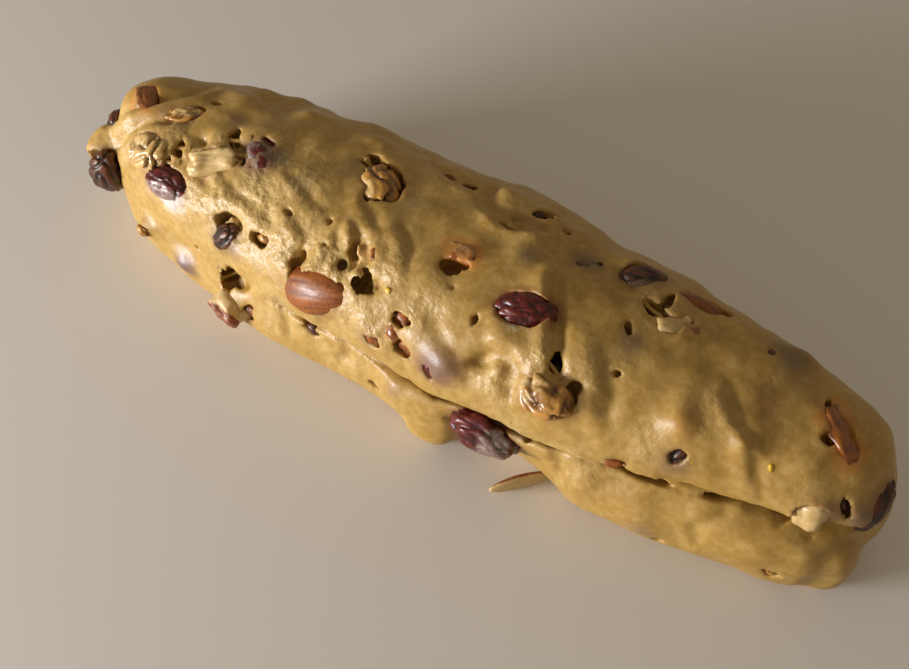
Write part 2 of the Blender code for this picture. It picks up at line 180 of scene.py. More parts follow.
# Torn holes in the skin: x, girth angle, heading, length, width, depth.
TEAR_ROWS = (
    (-77, 93, 60, 6.5, 3.8, 5),
    (-74, 82, 50, 4.6, 3.2, 5),
    (-73, 75, 60, 4.0, 2.6, 4),
    (-92, 74, 80, 5.6, 3.8, 5),
    (-93, 61, 60, 4.2, 3.0, 4),
    (-91, 56, 0, 1.8, 1.6, 3),
    (-85, 73, 10, 4.4, 2.6, 4),
    (-95, 107, 12, 6.0, 2.4, 4),
    (-92, 116, 5, 6.0, 2.2, 3),
    (-70, 82, 75, 5.0, 2.2, 3),
    (-70, 91, 50, 5.0, 2.2, 3),
    (-67, 99, 20, 6.0, 2.2, 3),
    (-66, 79, 0, 1.8, 1.6, 3),
    (-66, 38, 110, 8.6, 7.0, 7),
    (-60, 47, 60, 2.4, 1.6, 3),
    (-47, 62, 30, 4.0, 1.6, 2.5),
    (-50, 70, 20, 3.0, 1.4, 2),
    (-34, 66, 70, 3.4, 1.6, 2.5),
    (-31, 34, 70, 4.4, 2.4, 4),
    (-22, 38, 40, 3.0, 1.8, 3),
    (8, 60, 50, 3.0, 1.4, 2.5),
    (18, 50, 70, 4.6, 1.6, 3),
    (52, 60, 60, 2.8, 1.4, 2.5),
    (-53, 40, 0, 7.0, 3.8, 5),
    (-78, 3, 0, 1.4, 1.2, 2),
    (-64, -4, 60, 10.0, 6.5, 6),
    (-56, -18, 70, 6.0, 4.0, 5),
    (-38, 38, 75, 8.0, 5.4, 7),
    (-23, 55, 70, 7.0, 3.0, 5),
    (-24, 48, 80, 4.6, 3.0, 4),
    (-15, 44, 40, 7.0, 6.2, 7),
    (-2, 36, 20, 6.4, 4.2, 5),
    (1, 22, 20, 6.0, 4.4, 5),
    (-9, 19, 60, 5.0, 4.2, 5),
    (-32, 54, 20, 2.0, 1.6, 2),
    (-35, 112, 20, 8.0, 6.0, 6),
    (-25, 106, 30, 7.0, 6.0, 6),
    (-29, 90, 30, 5.0, 4.0, 5),
    (13, 105, -2, 9.0, 4.4, 6),
    (17, 120, -10, 7.0, 4.4, 5),
    (-14, 126, 0, 5.0, 2.4, 4),
    (-7, 125, 0, 5.0, 2.8, 4),
    (26, 117, 0, 3.0, 2.2, 2),
    (5, 69, 0, 8.0, 5.2, 5),
    (30, 70, 70, 2.2, 1.6, 3),
    (22, 72, 10, 2.4, 1.6, 3),
    (10, 17, 70, 6.0, 2.6, 4),
    (42, 46, 70, 9.5, 6.0, 9),
    (50, 38, 80, 7.0, 4.0, 6),
    (41, 2, 0, 3.0, 2.4, 3),
    (38, 3, 0, 2.0, 1.8, 2),
    (35, 102, 0, 3.6, 2.0, 3),
    (39, 108, 0, 2.2, 1.6, 3),
    (58, 95, 30, 8.0, 5.0, 6),
    (60, 103, 80, 6.5, 3.4, 5),
    (67, 97, 20, 4.0, 2.6, 4),
    (55, 77, 50, 4.4, 2.2, 4),
    (58, 54, 80, 2.6, 1.6, 3),
    (90, 102, 10, 3.2, 2.4, 3),
    (66, 9, 10, 5.0, 2.4, 3),
    (108, 90, 70, 4.6, 2.6, 4),
    (82, -22, 20, 4.0, 2.0, 3),
    (112, 68, 30, 5.0, 3.0, 4),
    (122, 34, 75, 6.4, 3.6, 6),
    (112, -22, 10, 5.4, 3.4, 4),
    (117, 2, 0, 1.6, 1.4, 2),
    (-32, -6, 20, 6.0, 4.0, 5),
    (-10, -20, 10, 5.4, 2.6, 3),
)
TEARS = [Tear(*row) for row in TEAR_ROWS]

# Folds and creases, as places along each, with the width and depth of the groove and the height of the
# ridge on its right.
CREASE_ROWS = (
    (((32, 84), (35, 74), (38, 65), (41, 55), (42, 47)), 1.7, 2.2, 1.5),
    (((42, 47), (45, 42), (51, 42)), 1.4, 1.2, 0.8),
    (((23, 37), (26, 43), (31, 44), (35, 38), (35, 31)), 1.3, 1.5, -2.8),
    (((20, 52), (24, 42), (22, 34)), 2.0, 0.7, 0.0),
    (((-25, 66), (-21, 62), (-18, 57), (-17, 50)), 1.2, 1.4, 1.5),
    (((-44, 60), (-38, 52), (-38, 44)), 1.6, 0.9, 0.6),
    (((-72, 66), (-66, 60), (-58, 58), (-50, 52)), 1.5, 0.7, 0.6),
    (((-88, 66), (-80, 62), (-74, 56)), 1.4, 0.6, 0.5),
    (((-54, 84), (-46, 78), (-40, 72)), 1.4, 0.7, 0.6),
    (((-14, 78), (-8, 70), (-6, 60)), 1.5, 0.7, 0.6),
    (((-30, 62), (-28, 52), (-30, 42)), 1.3, 0.9, 0.8),
    (((-28, 84), (-24, 80), (-21, 74)), 1.4, 0.8, 0.6),
    (((-125, 92), (-118, 94), (-112, 100), (-102, 122)), 1.8, 1.8, 1.4),
    (((-118, 60), (-112, 78), (-106, 88), (-100, 90)), 1.6, 1.5, 1.0),
    (((-96, 52), (-100, 44), (-104, 36)), 1.4, 0.6, 0.5),
    (((2, 124), (4, 116), (10, 112), (17, 114)), 1.3, 0.9, -2.4),
    (((8, 104), (13, 103), (18, 106)), 1.1, 0.8, 0.9),
    (((86, 66), (90, 58), (95, 52)), 1.5, 1.2, 1.0),
    (((96, 46), (99, 40), (100, 34)), 1.6, 0.8, 0.6),
    (((8, 40), (16, 34), (22, 24)), 2.2, 0.8, 0.4),
    (((56, 52), (60, 44), (60, 36)), 2.0, 0.9, 0.5),
    (((66, 14), (74, 16), (84, 14)), 1.6, 0.9, 0.4),
    (((50, 0), (52, -8), (50, -16)), 1.6, 1.0, 0.7),
    (((-44, 4), (-42, -8), (-40, -16)), 1.5, 0.9, 0.5),
    (((-20, 2), (-19, -8), (-22, -16)), 1.5, 1.0, 0.6),
    (((96, 4), (90, -6), (92, -14)), 1.6, 0.8, 0.5),
    (((62, 116), (70, 118), (78, 114)), 1.4, 0.6, 0.6),
    (((-20, 128), (-12, 124), (-2, 122)), 1.6, 1.2, 0.8),
    (((-60, 150), (-30, 146), (10, 150)), 2.4, 0.7, 0.4),
    (((40, 160), (70, 152), (96, 158)), 2.4, 0.7, 0.4),
    (((-100, 160), (-86, 148), (-70, 156)), 2.2, 0.8, 0.5),
)
CREASES = [Crease(*row) for row in CREASE_ROWS]

# Fruit that lies wholly under the skin: x, girth angle, heading, length, width, height.
SWELLING_ROWS = (
    (-101, -14, 0, 9, 7, 3.0),
    (-85, -26, 0, 9, 7, 2.0),
    (12, 25, 30, 12, 12, 0.9),
    (78, 46, 60, 10, 6, 1.8),
    (94, 50, 60, 7, 4, 1.2),
    (28, 46, 30, 12, 9, 0.9),
    (-28, 46, 20, 14, 9, 1.4),
    (8, 55, 40, 14, 10, 0.8),
    (55, 36, 0, 13, 8, 1.0),
    (-45, 50, 90, 13, 8, 0.9),
    (-80, 40, 30, 16, 10, 0.9),
    (-84, 108, 0, 8, 5, 0.8),
    (-48, 84, 0, 16, 12, 0.6),
    (22, 90, 0, 10, 7, 0.6),
    (77, -18, 0, 13, 7, 1.0),
    (-1, -4, 20, 7, 6, 1.3),
    (-9, 22, 30, 9, 7, 0.8),
    (116, 30, 30, 8, 7, 1.0),
    (124, 34, 70, 12, 8, 1.0),
    (60, -6, 10, 10, 8, 0.8),
    (-98, 30, 30, 8, 6, 0.8),
    (-90, 128, 0, 10, 6, 1.2),
    (-64, 130, 0, 9, 6, 1.1),
    (-38, 128, 0, 12, 6, 1.3),
    (4, 124, 0, 10, 5, 1.6),
    (19, 122, 0, 7, 4, 1.6),
    (48, 116, 0, 10, 5, 1.5),
    (76, 116, 0, 8, 5, 1.1),
    (98, 114, 0, 12, 6, 1.0),
)
SWELLINGS = [Swelling(*row) for row in SWELLING_ROWS]

# Bits too small to be parts of their own, set in holes or into the skin: kind, x, girth angle, length,
# width, thickness, how deep each is sunk, heading.
BIT_ROWS = (
    ("zest", -8, 46, 2.2, 1.6, 1.2, 0.2, 20),
    ("zest", 102, 42, 2.2, 1.6, 1.2, 0.2, 60),
    ("zest", 84, 30, 1.2, 0.9, 0.8, 0.1, 0),
    ("zest", -30, 70, 1.2, 0.8, 0.8, 0.1, 30),
    ("peel", 70, 93, 3.6, 2.6, 1.6, 0.5, 10),
    ("peel", -17, 59, 5.0, 2.6, 2.4, 0.9, 60),
    ("peel", -3, 28, 6.0, 4.4, 3.6, 1.2, 30),
    ("almond", -2, 36, 6.0, 4.5, 4.0, 3.2, 20),
    ("almond", 1, 22, 6.0, 4.5, 4.0, 3.0, 20),
    ("almond", -9, 19, 5.0, 4.5, 4.0, 2.6, 50),
    ("almond", -38, 40, 5.0, 4.0, 4.0, 4.0, 0),
    ("almond", 65, 9, 6.0, 3.4, 3.2, 1.8, 10),
    ("almond", -11, 126, 9.0, 4.0, 3.6, 2.0, 0),
    ("almond", -56, -19, 5.0, 4.0, 4.0, 2.6, 60),
    ("walnut", -76, 88, 7.0, 5.0, 4.0, 3.6, 60),
    ("walnut", 112, -22, 4.6, 3.0, 3.0, 1.8, 10),
    ("walnut", -101, -12, 5.0, 4.0, 3.0, 0.4, 10),
    ("walnut", 26, 117, 2.8, 2.0, 1.8, 0.9, 0),
    ("walnut", -53, 41, 6.0, 3.5, 3.0, 3.4, 0),
    ("cranberry", 10, 17, 6.0, 3.2, 3.4, 1.9, 70),
    ("cranberry", -68, 97, 8.0, 4.0, 4.0, 2.2, 40),
    ("raisin", -32, -6, 5.4, 4.0, 4.0, 1.6, 20),
    ("raisin", 15, 122, 5.0, 3.0, 3.0, 2.4, 0),
    ("raisin", 90, 102, 3.2, 2.4, 2.4, 1.2, 0),
    ("raisin", 42, 46, 8.0, 6.5, 6.0, 5.4, 70),
    ("raisin", 122, 34, 5.0, 4.0, 3.6, 3.0, 70),
    ("raisin", 39, 107, 2.4, 1.8, 2.0, 1.2, 0),
    ("nut", -66, 38, 7.0, 5.0, 4.0, 4.6, 60),
    ("nut", 67, 97, 4.0, 3.0, 2.6, 1.2, 40),
    ("nut", -60, -24, 3.0, 2.0, 2.0, 0.8, 40),
)
BITS = [Bit(*row) for row in BIT_ROWS]
# Thin strands of dough across the torn holes: x and girth angle of both ends, radius, sag.
STRANDS = (
    (-81, 90, -72, 97, 0.7, 0.8),
    (-79, 82, -70, 87, 0.8, 0.6),
    (-77, 77, -70, 79, 0.6, 0.6),
    (-80, 96, -74, 88, 0.5, 1.4),
    (-96, 72, -88, 76, 0.7, 0.9),
    (-96, 60, -89, 64, 0.6, 0.8),
    (-69, 0, -59, -8, 0.7, 1.6),
    (-68, -9, -61, 1, 0.5, 2.2),
    (-6, 35, 2, 38, 0.5, 1.4),
    (54, 99, 63, 92, 0.7, 1.2),
    (56, 88, 62, 82, 0.6, 0.9),
    (39, 50, 46, 43, 0.6, 2.0),
    (8, 105, 17, 106, 0.5, 1.2),
    (-38, 114, -28, 108, 0.6, 1.6),
)
BIT_FORMS = {
    "zest": "nut",
    "peel": "peel",
    "almond": "nut",
    "walnut": "walnut",
    "raisin": "raisin",
    "cranberry": "cranberry",
    "nut": "nut",
}

RAISIN_BLUE = "#4A4C50"
RAISIN_LILAC = "#665058"
RAISIN_BROWN = "#6A4E34"
BERRY_RED = "#6E2A2A"
PEEL_ORANGE = "#C9772B"
NUT_BROWN = "#9A6A3C"

# Where fruit colours the skin: x, girth angle, reach, colour, strength.
STAIN_ROWS = (
    (-101, -12, 3.5, NUT_BROWN, 0.7),
    (-85, -24, 6.0, RAISIN_LILAC, 2.0),
    (-66, 86, 8.0, RAISIN_BLUE, 0.75),
    (-60, 92, 6.0, RAISIN_BLUE, 0.5),
    (-81, 108, 4.0, RAISIN_LILAC, 0.55),
    (-48, 80, 6.0, RAISIN_BLUE, 0.3),
    (-40, 105, 6.0, RAISIN_BLUE, 0.3),
    (-16, 92, 6.0, RAISIN_BLUE, 0.35),
    (12, 24, 8.5, RAISIN_LILAC, 1.3),
    (22, 90, 4.5, RAISIN_BLUE, 0.6),
    (58, 71, 6.0, RAISIN_BLUE, 0.55),
    (36, 104, 5.0, RAISIN_BLUE, 0.5),
    (96, 104, 7.0, RAISIN_BLUE, 0.7),
    (70, 93, 3.0, NUT_BROWN, 0.5),
    (95, 72, 7.0, BERRY_RED, 0.4),
    (77, -18, 6.0, RAISIN_LILAC, 0.6),
    (80, 26, 6.0, RAISIN_LILAC, 0.45),
    (126, 30, 6.5, RAISIN_LILAC, 0.7),
    (79, 46, 5.0, PEEL_ORANGE, 0.3),
    (7, 77, 5.0, PEEL_ORANGE, 0.5),
    (-3, 28, 4.0, PEEL_ORANGE, 0.5),
    (-1, -6, 4.0, RAISIN_LILAC, 0.5),
    (-18, 58, 3.0, PEEL_ORANGE, 0.45),
    (-30, 22, 6.0, RAISIN_LILAC, 0.55),
    (-61, 26, 5.0, RAISIN_LILAC, 0.5),
    (-44, 6, 4.0, RAISIN_LILAC, 0.35),
    (-11, 18, 4.5, RAISIN_LILAC, 0.45),
    (45, 30, 6.0, BERRY_RED, 0.18),
    (119, 30, 5.0, RAISIN_LILAC, 0.5),
    (50, 40, 5.0, RAISIN_LILAC, 0.3),
    (-104, 96, 5.0, RAISIN_LILAC, 0.35),
    (-97, 92, 5.0, RAISIN_LILAC, 0.3),
    (-80, 62, 4.0, NUT_BROWN, 0.25),
    (10, 150, 6.0, RAISIN_BLUE, 0.4),
    (-70, 150, 7.0, RAISIN_LILAC, 0.4),
    (70, 148, 6.0, BERRY_RED, 0.35),
    (-30, 165, 6.0, RAISIN_BLUE, 0.4),
)
STAINS = [Stain(*row) for row in STAIN_ROWS]
# The seam under the fold's edge: x, height, how far its mouth opens, depth into the loaf.
SEAM = (
    (-50, 24, 0.6, 0.5),
    (-42, 24, 1.8, 1.2),
    (-34, 25, 2.2, 3),
    (-27, 24, 1.2, 1.2),
    (-12, 24, 1.8, 1.6),
    (2, 25, 2.0, 2.2),
    (13, 25, 2.0, 4),
    (20, 26, 2.4, 7),
    (36, 26, 2.2, 7),
    (44, 26, 1.4, 6),
    (60, 27, 0.6, 4),
    (74, 28, 1.0, 5),
    (86, 28, 0.8, 5),
    (98, 28, 1.4, 7),
    (106, 28, 2.8, 9),
    (116, 28, 3.4, 8),
    (123, 28, 2.6, 5),
    (128, 28, 1.2, 2),
    (131, 28, 0.4, 0.6),
)
# Torn, pebbled skin: x, girth angle, reach, strength.
PEBBLED = (
    (-62, 58, 20, 1.0),
    (-50, 76, 11, 0.7),
    (-84, 48, 13, 0.8),
    (-96, 66, 11, 0.9),
    (-78, 74, 10, 0.7),
    (-44, 44, 13, 1.0),
    (-27, 46, 13, 0.9),
    (-20, 26, 12, 0.7),
    (-10, 60, 10, 0.5),
    (0, 44, 12, 0.7),
    (-8, 30, 10, 0.8),
    (30, 30, 10, 0.6),
    (33, 10, 8, 0.8),
    (53, 48, 9, 0.7),
    (38, 48, 8, 0.8),
    (71, 26, 8, 0.4),
    (84, 56, 7, 0.4),
    (58, 4, 9, 0.5),
    (-45, 4, 12, 0.6),
    (-20, -4, 12, 0.6),
    (-118, 70, 9, 0.5),
    (-16, 122, 9, 0.5),
    (14, 116, 9, 0.5),
    (60, 98, 8, 0.5),
    (112, 30, 8, 0.4),
    (-40, 170, 16, 0.5),
    (50, 175, 14, 0.5),
)
# Dry flour on the skin: x, girth angle, reach, strength.
FLOUR = (
    (-91, 40, 6.5, 0.7),
    (-85, 38, 7.5, 0.6),
    (-88, 34, 5.0, 0.3),
    (28, 56, 5.0, 0.45),
    (38, 4, 5.0, 0.5),
)


# ---------------------------------------------------------------- small helpers


def linear(hex_colour):
    """sRGB hex to linear RGBA."""
    values = [int(hex_colour[i : i + 2], 16) / 255 for i in (1, 3, 5)]
    return (*[((v + 0.055) / 1.055) ** 2.4 if v > 0.04045 else v / 12.92 for v in values], 1.0)


def node(tree, kind, links=None, **settings):
    """Adds a node. links maps an input to a value or to another node's output."""
    made = tree.nodes.new(kind)
    for name, value in settings.items():
        setattr(made, name, value)
    for name, value in (links or {}).items():
        if isinstance(value, bpy.types.NodeSocket):
            tree.links.new(value, made.inputs[name])
        else:
            made.inputs[name].default_value = value
    return made


def new_piece(name, bm):
    """A mesh object from a bmesh in metres, smooth shaded."""
    mesh = bpy.data.meshes.new(name)
    bm.to_mesh(mesh)
    bm.free()
    mesh.shade_smooth()
    obj = bpy.data.objects.new(name, mesh)
    bpy.context.scene.collection.objects.link(obj)
    return obj


def points_of(mesh):
    """Vertex places, in millimetres."""
    flat = np.empty(len(mesh.vertices) * 3)
    mesh.vertices.foreach_get("co", flat)
    return flat.reshape(-1, 3) / MM


def normals_of(mesh):
    """Vertex normals."""
    flat = np.empty(len(mesh.vertices) * 3)
    mesh.vertex_normals.foreach_get("vector", flat)
    return flat.reshape(-1, 3)


def move_points(mesh, points):
    """Puts the vertices at points, in millimetres."""
    mesh.vertices.foreach_set("co", (points * MM).ravel())
    mesh.update()


def store(mesh, name, values):
    """Keeps one number, or one colour, for each vertex."""
    if values.ndim == 1:
        mesh.attributes.new(name, "FLOAT", "POINT").data.foreach_set("value", values.astype(np.float32))
    else:
        mesh.attributes.new(name, "FLOAT_COLOR", "POINT").data.foreach_set(
            "color", values.astype(np.float32).ravel()
        )


def soft_noise(points, length, seed, octaves=1):
    """Smooth noise from about -1 to 1, with features as long as length."""
    shift = Vector((17.3, 5.1, 9.7)) * seed
    places = points / length
    if octaves == 1:
        return np.array([noise.noise(Vector(p) + shift) for p in places]) * 1.6
    return np.array([noise.fractal(Vector(p) + shift, 1.0, 2.0, octaves) for p in places]) * 1.3


def step(low, high, values):
    """0 below low, 1 above high, smooth between them."""
    t = np.clip((values - low) / (high - low), 0, 1)
    return t * t * (3 - 2 * t)


def bell(distance, reach):
    """1 at no distance, falling smoothly to near 0 at twice the reach."""
    return np.exp(-((distance / reach) ** 2))


# ---------------------------------------------------------------- places on the skin


def tree_of(mesh):
    """A search tree of the mesh, in metres."""
    bm = bmesh.new()
    bm.from_mesh(mesh)
    tree = BVHTree.FromBMesh(bm)
    bm.free()
    return tree


def outward(girth):
    """The way out of the core line at a girth angle."""
    angle = math.radians(girth)
    return Vector((0, -math.cos(angle), math.sin(angle)))


def skin_place(tree, x, girth):
    """The point of the skin at x and girth angle, in millimetres, and the way out of it."""
    core = Vector((x, 0, CORE_HEIGHT)) * MM
    point, normal, _, _ = tree.ray_cast(core + outward(girth) * 0.1, -outward(girth))
    if point is None:
        raise ValueError(f"no skin at x {x}, girth {girth}")
    return point / MM, normal


def skin_axes(normal, heading):
    """Three axes on the skin: along the heading, across it and out of the skin."""
    along = Vector((1, 0, 0))
    along = (along - normal * along.dot(normal)).normalized()
    along = Matrix.Rotation(math.radians(-heading), 3, normal) @ along
    return along, normal.cross(along), normal


def lie_of(name):
    """A fruit's middle, axes (along, across, out) and half sizes, in millimetres."""
    points = points_of(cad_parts[name].data)
    middle = (points.min(0) + points.max(0)) / 2
    along = np.linalg.svd(points - points.mean(0), full_matrices=False)[2][0]
    if along[0] < 0:
        along = -along
    out = middle - np.array((middle[0], 0, CORE_HEIGHT))
    if name == "almond_sliver":
        out = np.array((0.0, 0.0, 1.0))
    if abs(middle[0]) > 120:
        out[0] = math.copysign(12, middle[0])
    out -= along * (out @ along)
    out /= np.linalg.norm(out)
    axes = np.array((along, np.cross(out, along), out))
    spread = (points - middle) @ axes.T
    middle = middle + (spread.min(0) + spread.max(0)) / 2 @ axes
    return middle, axes, (spread.max(0) - spread.min(0)) / 2


def posed_lie(name):
    """The same, for the fruit as it is shown: fuller, turned on the skin and raised."""
    middle, axes, half = lie_of(name)
    if name == "almond_sliver":
        return middle, axes, half
    fullness, turn, lift = POSES.get(name, (1.0, 0, 0.0))
    swing = np.array(Matrix.Rotation(math.radians(turn), 3, Vector(axes[2])))
    axes = axes @ swing.T
    return middle + axes[2] * lift, axes, half * fullness * FRUIT_FULLNESS


# ---------------------------------------------------------------- the dough's skin


def solid_with_fruit():
    """The dough solid with every fruit joined in, each a film thicker, before the skin is opened."""
    bm = bmesh.new()
    bm.from_mesh(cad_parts["dough"].data)
    bmesh.ops.remove_doubles(bm, verts=bm.verts, dist=1e-6)
    for name in FRUIT:
        if name in FREE_FRUIT:
            continue
        part = bmesh.new()
        part.from_mesh(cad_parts[name].data)
        bmesh.ops.remove_doubles(part, verts=part.verts, dist=1e-6)
        part.normal_update()
        for vertex in part.verts:
            vertex.co += vertex.normal * FILM_THICKNESS * MM
        mesh = bpy.data.meshes.new(name)
        part.to_mesh(mesh)
        part.free()
        bm.from_mesh(mesh)
        bpy.data.meshes.remove(mesh)
    for x, y, z, *half in ADDED_DOUGH:
        made = bmesh.ops.create_icosphere(bm, subdivisions=4, radius=1.0)
        for vertex in made["verts"]:
            local = squared(np.array(vertex.co), 0.62) * half
            vertex.co = Vector(local + (x, y, z)) * MM
            vertex.co.z = max(vertex.co.z, 0.0)
    return new_piece("stollen_dough", bm)


def applied(obj):
    """The object's mesh with its modifiers applied."""
    evaluated = obj.evaluated_get(bpy.context.evaluated_depsgraph_get())
    mesh = bpy.data.meshes.new_from_object(evaluated)
    obj.modifiers.clear()
    old = obj.data
    obj.data = mesh
    bpy.data.meshes.remove(old)


def remesh(obj, voxel):
    """Rebuilds the object's mesh from even cells of voxel millimetres."""
    modifier = obj.modifiers.new("even", "REMESH")
    modifier.mode = "VOXEL"
    modifier.voxel_size = voxel * MM
    applied(obj)


def relax(mesh, weight, rounds):
    """Draws each vertex towards the middle of its neighbours, again and again."""
    count = len(mesh.vertices)
    a, b = edge_ends(mesh)
    ends = np.concatenate((a, b))
    others = np.concatenate((b, a))
    degree = np.maximum(np.bincount(ends, minlength=count), 1)
    points = points_of(mesh)
    for _ in range(rounds):
        middle = np.stack([np.bincount(ends, points[others, k], count) / degree for k in range(3)], 1)
        points += (middle - points) * weight[:, None] * 0.6
    move_points(mesh, points)


def distance_to_line(points, line):
    """Each point's distance to a line of places, its nearest place on it, and the line's way there."""
    best = np.full(len(points), 1e9)
    nearest = np.zeros((len(points), 3))
    heading = np.zeros((len(points), 3))
    for start, end in zip(line, line[1:]):
        span = end - start
        t = np.clip((points - start) @ span / (span @ span), 0, 1)
        foot = start + t[:, None] * span
        distance = np.linalg.norm(points - foot, axis=1)
        closer = distance < best
        best[closer] = distance[closer]
        nearest[closer] = foot[closer]
        heading[closer] = span / np.linalg.norm(span)
    return best, nearest, heading


def lift_skin(obj, tree):
    """The relief of the skin: lumps, buried fruit and folds."""
    mesh = obj.data
    points = points_of(mesh)
    normals = normals_of(mesh)
    rise = 0.6 * soft_noise(points, 17, 1) + 0.5 * soft_noise(points, 8, 2)
    for swelling in SWELLINGS:
        place, normal = skin_place(tree, swelling.x, swelling.girth)
        along, across, _ = skin_axes(normal, swelling.heading)
        offset = points - np.array(place)
        u = offset @ np.array(along) / (swelling.length / 2)
        v = offset @ np.array(across) / (swelling.width / 2)
        w = offset @ np.array(normal) / 6
        rise += swelling.height * np.exp(-(u**2 + v**2 + w**2))
    for crease in CREASES:
        line = [np.array(skin_place(tree, x, girth)[0]) for x, girth in crease.places]
        near = np.linalg.norm(points - np.mean(line, axis=0), axis=1) < 45
        distance, foot, heading = distance_to_line(points[near], line)
        side = np.einsum("ij,ij->i", np.cross(heading, points[near] - foot), normals[near])
        ridge = bell(distance - 2.0 * crease.width, 1.6 * crease.width) * (side < 0)
        rise[near] += crease.ridge * ridge - crease.depth * bell(distance, crease.width)
    rise *= step(0.0, LOWEST_RELIEF, points[:, 2]) * np.clip(1 + normals[:, 2] * 2, 0, 1)
    points += normals * rise[:, None]
    points[:, 2] = np.maximum(points[:, 2], 0)
    move_points(mesh, points)


def pebbled(points, tree):
    """Where the skin is torn and pebbled, from 0 to 1."""
    rough = np.zeros(len(points))
    for x, girth, reach, strength in PEBBLED:
        place, _ = skin_place(tree, x, girth)
        rough = np.maximum(rough, strength * bell(np.linalg.norm(points - np.array(place), axis=1), reach))
    return np.clip(rough * (1 + 0.5 * soft_noise(points, 9, 6)), 0, 1)


def fine_relief(mesh, tree):
    """The pebbled and crinkled look of torn moist dough, and a faint unevenness everywhere."""
    points = points_of(mesh)
    normals = normals_of(mesh)
    rough = pebbled(points, tree)
    crinkle = 1 - 2.2 * np.abs(soft_noise(points * (1.0, 0.7, 0.7), 4.0, 8))
    rise = rough * (0.28 * soft_noise(points, 3.6, 3) + 0.12 * soft_noise(points, 1.6, 4))
    rise -= 0.16 * rough * np.clip(crinkle, 0, 1) ** 2
    rise += 0.06 * soft_noise(points, 3.5, 5)
    rise += 0.3 * soft_noise(points, 12, 15) + 0.14 * soft_noise(points, 7, 16)
    rise *= step(0.0, LOWEST_RELIEF, points[:, 2])
    points += normals * rise[:, None]
    points[:, 2] = np.maximum(points[:, 2], 0)
    move_points(mesh, points)


# ---------------------------------------------------------------- openings


def ragged_ball(middle, axes, half, seed, ragged=0.16):
    """A lumpy closed body that cuts one torn opening."""
    bm = bmesh.new()
    bmesh.ops.create_icosphere(bm, subdivisions=3, radius=1.0)
    shift = Vector((3.1, 7.7, 1.9)) * seed
    for vertex in bm.verts:
        p = vertex.co.normalized()
        lump = 1 + ragged * (1.7 * noise.noise(p * 1.6 + shift) + 1.1 * noise.noise(p * 4.5 + shift))
        lump = max(lump, DEEPEST_DENT)
        local = np.array(p) * lump * half
        vertex.co = Vector(middle + local @ axes) * MM
    return bm


def seam_cutter(tree):
    """A thin wandering blade that opens the seam under the fold's edge."""
    rows = np.array(SEAM, float)
    bm = bmesh.new()
    rings = []
    for x in np.arange(rows[0, 0], rows[-1, 0], 1.5):
        height, mouth, depth = (np.interp(x, rows[:, 0], rows[:, k]) for k in (1, 2, 3))
        height += 0.9 * noise.noise(Vector((x / 9, 0.5, 0.0)))
        mouth *= 1 + 0.5 * noise.noise(Vector((x / 5, 3.5, 0.0)))
        hit = tree.ray_cast(Vector((min(x, 128), -80, height)) * MM, Vector((0, 1, 0)))[0]
        outer = hit[1] / MM if hit else -30.0
        sides = (
            (outer - 6, 2.2),
            (outer - 1, 1.1),
            (outer + depth * 0.5, 0.9),
            (outer + depth, 0.3),
        )
        ring = [(y, height + mouth * wide / 2 - 0.1 * (y - outer)) for y, wide in sides]
        ring += [(y, height - mouth * wide / 2 - 0.4 * max(y - outer, 0)) for y, wide in reversed(sides)]
        rings.append([bm.verts.new(Vector((x, y, z)) * MM) for y, z in ring])
    for first, second in zip(rings, rings[1:]):
        for k in range(len(first)):
            bm.faces.new((first[k], second[k], second[k - 1], first[k - 1]))
    bm.faces.new(rings[0])
    bm.faces.new(rings[-1])
    bmesh.ops.triangulate(bm, faces=bm.faces)
    return bm


def opening_cutters(tree):
    """The seam, every torn hole, and the mouth over every fruit that shows."""
    cutters = [seam_cutter(tree)]
    for seed, tear in enumerate(TEARS):
        place, normal = skin_place(tree, tear.x, tear.girth)
        axes = np.array(skin_axes(normal, tear.heading))
        width = max(tear.width, NARROWEST_TEAR)
        half = np.array((max(tear.length, width) * 0.5, width * 0.5, tear.depth * 0.75))
        middle = np.array(place) - axes[2] * tear.depth * 0.4
        cutters.append(ragged_ball(middle, axes, half, seed + 1, 0.34))
        if tear.length > 3.5:
            turn = 1 if seed % 2 else -1
            beside = middle + axes[0] * tear.length * 0.36 * turn + axes[1] * tear.width * 0.3
            cutters.append(ragged_ball(beside, axes, half * (0.6, 0.5, 0.8), seed + 120, 0.34))
    for seed, (name, opening) in enumerate(OPENINGS.items()):
        middle, axes, half = posed_lie(name)
        shift = opening.shift_along * half[0] * axes[0] + opening.shift_across * half[1] * axes[1]
        mouth = half * (opening.along, opening.across, 1.0)
        mouth[2] = half[2] * 0.8 + 3.0
        cutters.append(ragged_ball(middle + shift + axes[2] * 3.0, axes, mouth, seed + 60, 0.14))
    for seed, (x, y, z, *half) in enumerate(TAKEN_DOUGH):
        cutters.append(ragged_ball(np.array((x, y, z)), np.eye(3), np.array(half), seed + 200, 0.06))
    return cutters


def apart(first, second):
    """Whether two boxes, each a low and a high corner, stand clear of each other."""
    return bool(np.any(first[0] > second[1]) or np.any(second[0] > first[1]))


